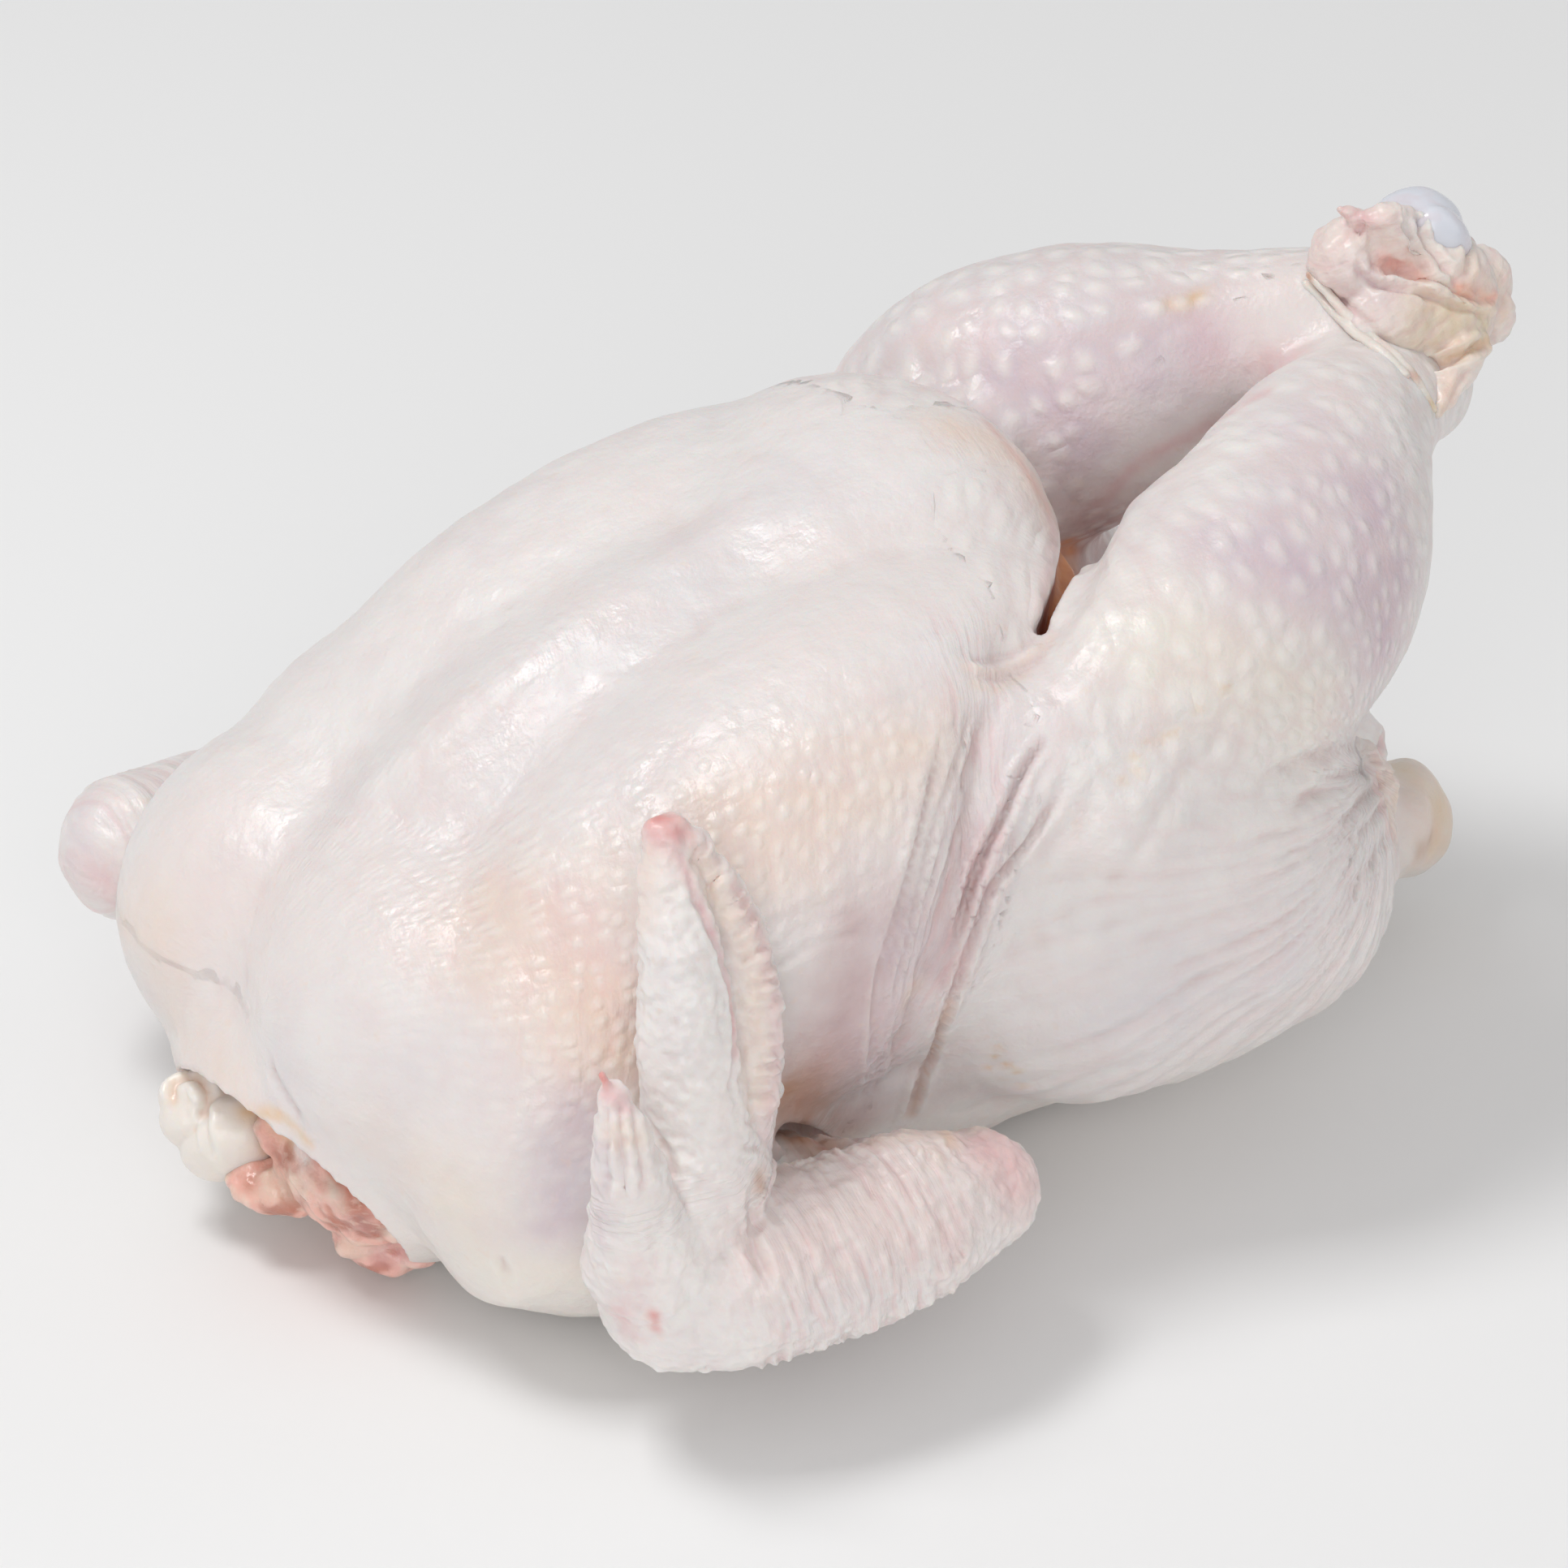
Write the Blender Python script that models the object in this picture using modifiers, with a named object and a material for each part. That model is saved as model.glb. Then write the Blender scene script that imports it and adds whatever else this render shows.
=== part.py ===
"""Whole raw fryer chicken, dressed, lying on its back with its hocks crossed.

Run it with: blender --background --python part.py

The masses are placed in a frame with the neck end at -X, the tail at +X, the breast up and the bird's
right side at -Y. At the end everything is moved so that the middle of the base is the origin.
"""

import math

import bmesh
import bpy
import numpy as np
from mathutils import Matrix, Vector, noise

# Driving dimensions, in metres.
BREAST_LENGTH = 0.138
BREAST_WIDTH = 0.132
KEEL_TILT = -18.0
THIGH_RADIUS = 0.030
CALF_RADIUS = 0.0245
SHANK_RADIUS = 0.0120
HOCK_RADIUS = 0.0140
FOREARM_RADIUS = 0.0145
CAVITY_RADIUS = 0.024

# The underside is cut flat at this height.
BASE_HEIGHT = 0.008

# Clear distance between two pieces that touch.
GAP = 0.0004

# Points closer than this are one point, and edges sharper than this (in degrees) are shaded as edges.
WELD = 1e-6
SHARP_ANGLE = 50.0

# Mesh fineness: voxel sizes in metres, then triangles for each piece.
TRUNK_VOXEL = 0.0026
WING_VOXEL = 0.0017
FLESH_VOXEL = 0.0010
KNUCKLE_VOXEL = 0.0008
TRUNK_TRIANGLES = 7000
WING_TRIANGLES = 1000
CAVITY_TRIANGLES = 500
FLESH_TRIANGLES = 700
KNUCKLE_TRIANGLES = 300

# Colour, roughness and metallic value of each material.
SKIN = ("skin", (0.80, 0.70, 0.65), 0.45, 0.0)
FLESH = ("flesh", (0.68, 0.30, 0.24), 0.40, 0.0)
FAT = ("fat", (0.86, 0.80, 0.66), 0.45, 0.0)
GRISTLE = ("gristle", (0.74, 0.76, 0.82), 0.30, 0.0)

# Sides of the bird as it lies.
RIGHT = -1
LEFT = 1


def clear_scene():
    """Removes what the startup file holds."""
    for obj in list(bpy.data.objects):
        bpy.data.objects.remove(obj)


def material(name, colour, roughness, metallic):
    """A plain Principled material."""
    made = bpy.data.materials.new(name)
    made.use_nodes = True
    shader = made.node_tree.nodes["Principled BSDF"]
    shader.inputs["Base Color"].default_value = (*colour, 1.0)
    shader.inputs["Roughness"].default_value = roughness
    shader.inputs["Metallic"].default_value = metallic
    return made


def shaped(obj, centre, size, turn=(0.0, 0.0, 0.0)):
    """Stretches, turns (in degrees) and places a primitive, and moves all that into its mesh."""
    obj.scale = size
    obj.rotation_euler = [math.radians(angle) for angle in turn]
    obj.location = centre
    bpy.context.view_layer.update()
    obj.data.transform(obj.matrix_world)
    obj.matrix_world = Matrix.Identity(4)
    return obj


def ellipsoid(centre, radii, turn=(0.0, 0.0, 0.0)):
    """A mass of muscle or fat: a sphere stretched to three radii."""
    bpy.ops.mesh.primitive_uv_sphere_add(segments=36, ring_count=18, radius=1.0)
    return shaped(bpy.context.active_object, centre, radii, turn)


def block(low, high):
    """A box between two corners."""
    bpy.ops.mesh.primitive_cube_add(size=1.0)
    size = [b - a for a, b in zip(low, high)]
    centre = [(a + b) / 2 for a, b in zip(low, high)]
    return shaped(bpy.context.active_object, centre, size)


def mesh_of_curve(curve_object):
    """The curve's solid as a mesh object with its caps welded on, in place of the curve."""
    graph = bpy.context.evaluated_depsgraph_get()
    mesh = bpy.data.meshes.new_from_object(curve_object.evaluated_get(graph))
    made = bpy.data.objects.new(curve_object.name, mesh)
    made.matrix_world = curve_object.matrix_world.copy()
    bpy.context.scene.collection.objects.link(made)
    bpy.data.objects.remove(curve_object)
    cage = bmesh.new()
    cage.from_mesh(mesh)
    bmesh.ops.remove_doubles(cage, verts=cage.verts, dist=WELD)
    bmesh.ops.recalc_face_normals(cage, faces=cage.faces)
    cage.to_mesh(mesh)
    cage.free()
    return made


def limb(stations, flatness=1.0):
    """A tapering tube through stations of (x, y, z, radius), with a round mass at each end.

    flatness is the section's height over its width. It returns the tube and both ends.
    """
    bpy.ops.curve.primitive_bezier_circle_add(radius=1.0)
    section = bpy.context.active_object
    section.scale = (1.0, flatness, 1.0)
    section.data.resolution_u = 6
    curve = bpy.data.curves.new("limb", "CURVE")
    curve.dimensions = "3D"
    curve.resolution_u = 8
    curve.bevel_mode = "OBJECT"
    curve.bevel_object = section
    curve.use_fill_caps = True
    curve.twist_mode = "Z_UP"
    spline = curve.splines.new("BEZIER")
    spline.bezier_points.add(len(stations) - 1)
    spline.radius_interpolation = "CARDINAL"
    for point, (x, y, z, radius) in zip(spline.bezier_points, stations):
        point.co = (x, y, z)
        point.radius = radius
        point.handle_left_type = "AUTO"
        point.handle_right_type = "AUTO"
    tube = bpy.data.objects.new("limb", curve)
    bpy.context.scene.collection.objects.link(tube)
    bpy.context.view_layer.update()
    pieces = [mesh_of_curve(tube)]
    bpy.data.objects.remove(section)
    for x, y, z, radius in (stations[0], stations[-1]):
        end = radius * (1 + flatness) / 2
        pieces.append(ellipsoid((x, y, z), (end, end, end)))
    return pieces


def apply_modifiers(obj):
    """Replaces the object's mesh with what its modifiers make of it."""
    graph = bpy.context.evaluated_depsgraph_get()
    mesh = bpy.data.meshes.new_from_object(obj.evaluated_get(graph))
    obj.modifiers.clear()
    obj.data = mesh
    return obj


def fuse(name, pieces, voxel, smoothing):
    """One smooth skin over overlapping masses: joined, remeshed in voxels and relaxed."""
    bpy.ops.object.select_all(action="DESELECT")
    for piece in pieces:
        piece.select_set(True)
    bpy.context.view_layer.objects.active = pieces[0]
    bpy.ops.object.join()
    obj = bpy.context.active_object
    obj.name = name
    remesh = obj.modifiers.new("Skin", "REMESH")
    remesh.mode = "VOXEL"
    remesh.voxel_size = voxel
    relax = obj.modifiers.new("Relax", "SMOOTH")
    relax.factor = 0.5
    relax.iterations = smoothing
    return apply_modifiers(obj)


def boolean(obj, tools, operation):
    """Joins the tools to the object, or cuts them away, and removes them.

    The exact solver leaves open edges on skins this fine, so all of it is done with the manifold one.
    """
    others = bpy.data.collections.new("cutters")
    bpy.context.scene.collection.children.link(others)
    for tool in tools:
        tool.hide_render = True
        tool.display_type = "WIRE"
        others.objects.link(tool)
    modifier = obj.modifiers.new(operation.title(), "BOOLEAN")
    modifier.operation = operation
    modifier.solver = "MANIFOLD"
    modifier.operand_type = "COLLECTION"
    modifier.collection = others
    apply_modifiers(obj)
    for tool in tools:
        bpy.data.objects.remove(tool)
    bpy.data.collections.remove(others)
    return obj


def thin_out(obj, triangles):
    """Collapses edges until the mesh has about that many triangles."""
    obj.data.calc_loop_triangles()
    decimate = obj.modifiers.new("Thin", "DECIMATE")
    decimate.ratio = min(1.0, triangles / len(obj.data.loop_triangles))
    decimate.use_collapse_triangulate = True
    return apply_modifiers(obj)


def points_of(obj):
    """The mesh's points as rows of an array."""
    points = np.empty(len(obj.data.vertices) * 3)
    obj.data.vertices.foreach_get("co", points)
    return points.reshape(-1, 3)


def normals_of(obj):
    """The mesh's point normals as rows of an array."""
    normals = np.empty(len(obj.data.vertices) * 3)
    obj.data.vertices.foreach_get("normal", normals)
    return normals.reshape(-1, 3)


def set_points(obj, points):
    """Writes rows of an array back as the mesh's points."""
    obj.data.vertices.foreach_set("co", points.ravel())
    obj.data.update()


def smooth_route(route, steps=12):
    """Points along a smooth curve through the route's own points."""
    knots = [Vector(point) for point in (route[0], *route, route[-1])]
    found = []
    for i in range(1, len(knots) - 2):
        before, start, end, after = knots[i - 1 : i + 3]
        for step in range(steps):
            t = step / steps
            linear = 2 * start + (end - before) * t
            square = (2 * before - 5 * start + 4 * end - after) * t**2
            cube = (3 * start - before - 3 * end + after) * t**3
            found.append(0.5 * (linear + square + cube))
    found.append(knots[-2])
    return np.array(found)


def crease(obj, route, width, depth):
    """Presses a rounded groove into the skin along a route, or raises a ridge if depth is negative."""
    points, normals = points_of(obj), normals_of(obj)
    line = smooth_route(route)
    away = np.sqrt(((points[:, None, :] - line[None, :, :]) ** 2).sum(axis=2))
    share = away.argmin(axis=1) / (len(line) - 1)
    fade = np.clip(np.minimum(share, 1 - share) * 6 + 0.25, 0, 1)
    push = depth * fade * np.exp(-((away.min(axis=1) / width) ** 2))
    set_points(obj, points - normals * push[:, None])


def lumps(obj, size, height, seed):
    """Uneven swells over the whole surface, of that size and height."""
    points, normals = points_of(obj), normals_of(obj)
    shift = Vector((seed * 3.7, seed * 1.3, seed * 2.1))
    rise = [noise.noise(Vector(point) / size + shift) * height for point in points]
    set_points(obj, points + normals * np.array(rise)[:, None])


def torso_masses():
    """Back, rib cage, breast muscles and the skin of the neck end, which leans to the bird's left."""
    pieces = [
        ellipsoid((0.092, 0.000, 0.048), (0.086, 0.050, 0.044)),
        ellipsoid((0.146, 0.000, 0.046), (0.044, 0.038, 0.033)),
        ellipsoid((0.013, 0.008, 0.035), (0.036, 0.044, 0.029), (0, 0, -18)),
        ellipsoid((0.064, 0.003, 0.076), (0.068, 0.037, 0.037), (0, -17, 0)),
        ellipsoid((0.023, -0.006, 0.052), (0.040, 0.048, 0.034), (0, 0, -16)),
        ellipsoid((0.093, 0.006, 0.085), (0.040, 0.044, 0.038), (0, -10, 0)),
        ellipsoid((0.014, 0.030, 0.052), (0.037, 0.032, 0.031)),
        ellipsoid((0.034, 0.032, 0.066), (0.040, 0.033, 0.0285), (0, -20, 0)),
        ellipsoid((0.027, -0.037, 0.048), (0.036, 0.028, 0.037)),
    ]
    half_length = BREAST_LENGTH / 2
    lobe_radius = 0.038
    lobe_out = BREAST_WIDTH / 2 - lobe_radius
    for side in (RIGHT, LEFT):
        centre = (0.068, lobe_out * side, 0.077)
        radii = (half_length, lobe_radius, 0.037)
        pieces.append(ellipsoid(centre, radii, (0, KEEL_TILT, -4 * side)))
    return pieces


def right_leg():
    """Thigh, drumstick and the skin over the flank on the bird's right."""
    thigh = [
        (0.147, -0.028, 0.050, THIGH_RADIUS - 0.005),
        (0.138, -0.038, 0.057, THIGH_RADIUS - 0.001),
        (0.123, -0.044, 0.071, THIGH_RADIUS - 0.001),
        (0.107, -0.045, 0.085, THIGH_RADIUS - 0.005),
    ]
    drumstick = [
        (0.103, -0.044, 0.089, CALF_RADIUS - 0.0015),
        (0.125, -0.042, 0.097, CALF_RADIUS),
        (0.149, -0.033, 0.104, CALF_RADIUS),
        (0.171, -0.017, 0.114, CALF_RADIUS - 0.0075),
        (0.184, -0.009, 0.115, SHANK_RADIUS),
        (0.195, -0.003, 0.113, SHANK_RADIUS - 0.0015),
    ]
    flank = ellipsoid((0.114, -0.040, 0.063), (0.048, 0.029, 0.038), (0, 10, -4))
    return [*limb(thigh), *limb(drumstick), flank]


def left_leg():
    """Thigh, drumstick and flank on the bird's left, whose hock lies over the other."""
    thigh = [
        (0.154, 0.028, 0.046, THIGH_RADIUS - 0.004),
        (0.146, 0.038, 0.052, THIGH_RADIUS),
        (0.134, 0.044, 0.068, THIGH_RADIUS - 0.002),
        (0.124, 0.044, 0.084, THIGH_RADIUS - 0.008),
    ]
    drumstick = [
        (0.124, 0.043, 0.088, CALF_RADIUS - 0.0045),
        (0.136, 0.039, 0.100, CALF_RADIUS - 0.0005),
        (0.148, 0.032, 0.105, CALF_RADIUS),
        (0.159, 0.025, 0.110, CALF_RADIUS - 0.0030),
        (0.170, 0.018, 0.115, CALF_RADIUS - 0.0085),
        (0.181, 0.010, 0.120, SHANK_RADIUS + 0.0005),
        (0.194, 0.003, 0.126, SHANK_RADIUS),
    ]
    flank = ellipsoid((0.118, 0.040, 0.063), (0.045, 0.029, 0.038), (0, 10, 4))
    hock = ellipsoid((0.199, 0.002, 0.127), (0.016, HOCK_RADIUS, HOCK_RADIUS), (0, -20, 0))
    return [*limb(thigh), *limb(drumstick), flank, hock]


def tail():
    """The fleshy stub of the tail, a little flattened."""
    return limb(
        [
            (0.164, 0.0, 0.040, 0.0270),
            (0.184, 0.0, 0.032, 0.0200),
            (0.199, 0.0, 0.026, 0.0120),
        ],
        flatness=0.65,
    )


def fold_skin(obj):
    """The ridge of the keel, the groins and the folds that the legs pull in the flanks."""
    keel = [
        (0.001, 0.008, 0.076),
        (0.019, 0.002, 0.096),
        (0.065, 0.002, 0.116),
        (0.110, 0.008, 0.122),
    ]
    crease(obj, keel, 0.006, -0.0022)
    right_groin = [
        (0.132, -0.012, 0.106),
        (0.112, -0.034, 0.112),
        (0.088, -0.049, 0.111),
    ]
    crease(obj, right_groin, 0.005, 0.0040)
    right_fold = [
        (0.088, -0.050, 0.111),
        (0.075, -0.064, 0.088),
        (0.069, -0.064, 0.068),
        (0.066, -0.058, 0.046),
    ]
    crease(obj, right_fold, 0.0045, 0.0030)
    left_fold = [
        (0.128, 0.020, 0.108),
        (0.112, 0.040, 0.112),
        (0.092, 0.054, 0.100),
        (0.080, 0.056, 0.060),
    ]
    crease(obj, left_fold, 0.006, 0.0035)
    for side in (RIGHT, LEFT):
        rump = [
            (0.168, 0.038 * side, 0.082),
            (0.182, 0.024 * side, 0.056),
            (0.182, 0.014 * side, 0.034),
        ]
        crease(obj, rump, 0.005, 0.0035)


def trunk():
    """Body, legs and tail under one skin."""
    pieces = [*torso_masses(), *right_leg(), *left_leg(), *tail()]
    obj = fuse("carcass", pieces, TRUNK_VOXEL, 8)
    fold_skin(obj)
    return obj


def right_wing():
    """The wing on the bird's right: its forearm lies along the flank and its tip stands up."""
    upper_arm = [
        (0.028, -0.050, 0.042, 0.017),
        (0.050, -0.061, 0.040, 0.016),
        (0.070, -0.071, 0.044, 0.012),
    ]
    forearm = [
        (0.070, -0.073, 0.045, FOREARM_RADIUS - 0.0025),
        (0.055, -0.077, 0.040, FOREARM_RADIUS - 0.0005),
        (0.038, -0.077, 0.036, FOREARM_RADIUS),
        (0.024, -0.073, 0.033, FOREARM_RADIUS - 0.0010),
    ]
    tip = [
        (0.024, -0.073, 0.034, 0.0130),
        (0.027, -0.075, 0.054, 0.0125),
        (0.028, -0.070, 0.080, 0.0095),
        (0.024, -0.062, 0.107, 0.0045),
    ]
    thumb = [
        (0.018, -0.077, 0.044, 0.0080),
        (0.013, -0.079, 0.060, 0.0060),
        (0.009, -0.077, 0.073, 0.0020),
    ]
    pieces = [*limb(upper_arm), *limb(forearm), *limb(tip, 0.7), *limb(thumb, 0.8)]
    return fuse("right_wing", pieces, WING_VOXEL, 3)


def left_wing():
    """The wing on the bird's left: its wrist is pushed forward and its tip lies back along the side."""
    upper_arm = [
        (0.022, 0.048, 0.048, 0.018),
        (0.040, 0.060, 0.040, 0.016),
        (0.052, 0.072, 0.036, 0.013),
    ]
    forearm = [
        (0.052, 0.076, 0.036, FOREARM_RADIUS - 0.0005),
        (0.032, 0.075, 0.038, FOREARM_RADIUS),
        (0.010, 0.070, 0.043, FOREARM_RADIUS - 0.0005),
        (-0.007, 0.063, 0.049, FOREARM_RADIUS - 0.0020),
    ]
    tip = [
        (-0.005, 0.064, 0.047, 0.0120),
        (0.006, 0.078, 0.030, 0.0110),
        (0.024, 0.086, 0.017, 0.0090),
        (0.046, 0.088, 0.010, 0.0045),
    ]
    pieces = [*limb(upper_arm), *limb(forearm), *limb(tip, 0.7)]
    return fuse("left_wing", pieces, WING_VOXEL, 3)


def cavity():
    """The drawn bird's hollow, which opens between the breast, the thighs and the tail."""
    pieces = [ellipsoid((0.076, 0.0, 0.052), (0.046, 0.031, 0.027), (0, -4, 0))]
    pieces += limb(
        [
            (0.100, 0.0, 0.056, CAVITY_RADIUS),
            (0.128, 0.0, 0.062, CAVITY_RADIUS - 0.002),
            (0.154, 0.0, 0.070, CAVITY_RADIUS - 0.004),
            (0.190, 0.0, 0.080, CAVITY_RADIUS - 0.006),
        ]
    )
    return fuse("cavity", pieces, TRUNK_VOXEL, 3)


def neck_opening():
    """What is cut from the neck end, under the edge of the breast's skin."""
    return ellipsoid((-0.021, -0.006, 0.014), (0.023, 0.037, 0.029))


def below_base():
    """Everything lower than the flat underside."""
    return block((-0.1, -0.2, -0.1), (0.3, 0.2, BASE_HEIGHT))


def carcass():
    """The skin-covered bird in one piece: trunk, legs, tail and wings, drawn and with its neck cut off."""
    obj = thin_out(trunk(), TRUNK_TRIANGLES)
    wings = [thin_out(wing, WING_TRIANGLES) for wing in (right_wing(), left_wing())]
    boolean(obj, wings, "UNION")
    hollow = thin_out(cavity(), CAVITY_TRIANGLES)
    return boolean(obj, [hollow, neck_opening(), below_base()], "DIFFERENCE")


def neck_flesh():
    """The cut stump of the neck, in uneven lumps."""
    masses = [
        ((-0.003, -0.007, 0.027), (0.014, 0.019, 0.013)),
        ((-0.013, 0.000, 0.027), (0.007, 0.008, 0.007)),
        ((-0.009, -0.008, 0.026), (0.008, 0.008, 0.007)),
        ((-0.004, -0.013, 0.020), (0.008, 0.007, 0.007)),
        ((0.000, -0.020, 0.020), (0.007, 0.006, 0.006)),
    ]
    obj = fuse("neck_flesh", [ellipsoid(*mass) for mass in masses], FLESH_VOXEL, 2)
    lumps(obj, 0.006, 0.0012, 1)
    return thin_out(obj, FLESH_TRIANGLES)


def neck_fat():
    """The lump of fat beside the neck stump."""
    masses = [
        ((-0.014, 0.015, 0.027), (0.009, 0.008, 0.008)),
        ((-0.017, 0.020, 0.029), (0.006, 0.006, 0.006)),
        ((-0.008, 0.022, 0.024), (0.010, 0.008, 0.008)),
    ]
    obj = fuse("neck_fat", [ellipsoid(*mass) for mass in masses], FLESH_VOXEL, 2)
    lumps(obj, 0.006, 0.0010, 2)
    return thin_out(obj, FLESH_TRIANGLES)


def left_knuckle():
    """The bare gristle end of the upper drumstick, in two rounds."""
    outer = ellipsoid((0.1975, 0.0060, 0.1365), (0.0085, 0.0070, 0.0062), (0, 10, 20))
    inner = ellipsoid((0.2045, 0.0020, 0.1330), (0.0070, 0.0060, 0.0060), (0, 30, 20))
    obj = fuse("left_hock_knuckle", [outer, inner], KNUCKLE_VOXEL, 2)
    return thin_out(obj, KNUCKLE_TRIANGLES)


def right_knuckle():
    """The gristle end of the lower drumstick, tucked under the other hock."""
    outer = ellipsoid((0.2010, 0.0060, 0.1120), (0.0070, 0.0066, 0.0062), (0, 20, 30))
    inner = ellipsoid((0.1960, 0.0080, 0.1080), (0.0062, 0.0060, 0.0056), (0, 20, 30))
    obj = fuse("right_hock_knuckle", [outer, inner], KNUCKLE_VOXEL, 2)
    return thin_out(obj, KNUCKLE_TRIANGLES)


def make_room(obj, insert):
    """Cuts a recess for the insert in the object, with GAP left all round it."""
    grown = bpy.data.objects.new("grown", insert.data.copy())
    bpy.context.scene.collection.objects.link(grown)
    set_points(grown, points_of(grown) + normals_of(grown) * GAP)
    return boolean(obj, [grown], "DIFFERENCE")


def to_base_centre(objects):
    """Moves the objects so that the middle of the underside of their box is the origin."""
    points = np.concatenate([points_of(obj) for obj in objects])
    low, high = points.min(axis=0), points.max(axis=0)
    shift = -np.array([(low[0] + high[0]) / 2, (low[1] + high[1]) / 2, low[2]])
    for obj in objects:
        set_points(obj, points_of(obj) + shift)
    return Vector(shift)


def build():
    """Makes the whole bird and returns how far its pieces were moved to put the origin at the base."""
    clear_scene()
    whole = carcass()
    flesh, fat = neck_flesh(), neck_fat()
    inserts = [(flesh, FLESH), (fat, FAT), (left_knuckle(), GRISTLE), (right_knuckle(), GRISTLE)]
    for insert, _ in inserts:
        make_room(whole, insert)
    make_room(flesh, fat)
    pieces = [(whole, SKIN), *inserts]
    bird = bpy.data.collections.new("whole_raw_chicken")
    bpy.context.scene.collection.children.link(bird)
    for obj, look in pieces:
        for holder in list(obj.users_collection):
            holder.objects.unlink(obj)
        bird.objects.link(obj)
        obj.data.materials.clear()
        obj.data.materials.append(material(*look))
        obj.data.shade_smooth()
        obj.data.set_sharp_from_angle(angle=math.radians(SHARP_ANGLE))
    return to_base_centre([obj for obj, _ in pieces])


if __name__ == "__main__":
    build()
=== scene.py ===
"""Looks of a whole raw fryer chicken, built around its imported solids.

The pieces are modelled in a working frame: neck end at -X, tail at +X, breast up, the bird's right side at
-Y. The last step moves each piece's points by SHIFT into the frame of the solids. Lengths are in metres.
Places on the side that the photograph shows are given as pixels of its square of PHOTO_PIXELS, and are laid
onto the modelled surface by a ray from the camera. Places elsewhere are points near the surface.
"""

import logging
import math
from dataclasses import dataclass, field
from enum import Enum

import bpy
import numpy as np
from mathutils import Matrix, Vector, noise
from mathutils.bvhtree import BVHTree


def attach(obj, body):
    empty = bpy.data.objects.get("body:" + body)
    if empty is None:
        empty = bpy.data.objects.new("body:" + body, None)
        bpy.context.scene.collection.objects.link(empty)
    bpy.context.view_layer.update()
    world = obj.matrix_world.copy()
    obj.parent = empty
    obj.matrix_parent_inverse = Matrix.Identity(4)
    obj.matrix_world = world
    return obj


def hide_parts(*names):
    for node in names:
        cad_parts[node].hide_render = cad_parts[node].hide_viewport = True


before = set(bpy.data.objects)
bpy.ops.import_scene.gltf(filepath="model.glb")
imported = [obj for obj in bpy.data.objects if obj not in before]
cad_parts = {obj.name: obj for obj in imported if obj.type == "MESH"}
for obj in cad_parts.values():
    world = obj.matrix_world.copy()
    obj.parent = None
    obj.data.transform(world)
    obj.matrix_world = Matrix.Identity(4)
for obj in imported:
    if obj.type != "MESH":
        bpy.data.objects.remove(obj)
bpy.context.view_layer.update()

log = logging.getLogger("chicken")

Point = tuple[float, float, float]
Spot = tuple[float, ...]
Colour = tuple[float, float, float]

PHOTO_PIXELS = 1932
SHIFT = Vector((-0.09556, -0.00121, -0.008))
BASE_HEIGHT = 0.008
MILLIMETRE = 0.001
MOST_TRIANGLES = 196000
BODY = "root"

# Spacing of a route's samples, in pixels and in metres.
PIXEL_STEP = 3.0
POINT_STEP = 0.4 * MILLIMETRE

# How uneven a patch of colour is, as a share of its strength.
RAGGEDNESS = 0.5

# Where the skin beside a groove stands highest, and how wide that lip is, in half widths of the groove.
LIP_PLACE = 1.9
LIP_WIDTH = 0.8


class Side(Enum):
    """Side of the bird as it lies: its sign is the sign of Y."""

    RIGHT = -1
    LEFT = 1


class Tone(Enum):
    """Colours of the bird, as linear red, green and blue."""

    CREAM = (0.805, 0.765, 0.75)
    ROSE = (0.80, 0.655, 0.625)
    PEACH = (0.82, 0.645, 0.53)
    LILAC = (0.60, 0.475, 0.545)
    SLATE = (0.66, 0.62, 0.65)
    PLUM = (0.50, 0.33, 0.33)
    BLUSH = (0.76, 0.46, 0.47)
    RED = (0.74, 0.20, 0.17)
    STAIN = (0.76, 0.52, 0.28)
    UMBER = (0.48, 0.26, 0.16)
    STRAW = (0.76, 0.63, 0.44)
    SALMON = (0.62, 0.25, 0.19)
    RUST = (0.42, 0.10, 0.04)
    FAT = (0.84, 0.78, 0.68)
    PALE = (0.90, 0.86, 0.83)
    # Painted shade for the hollows of the skin.
    FOLD = (0.60, 0.40, 0.37)
    RAW = (0.86, 0.44, 0.35)
    AMBER = (0.80, 0.36, 0.14)


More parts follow.
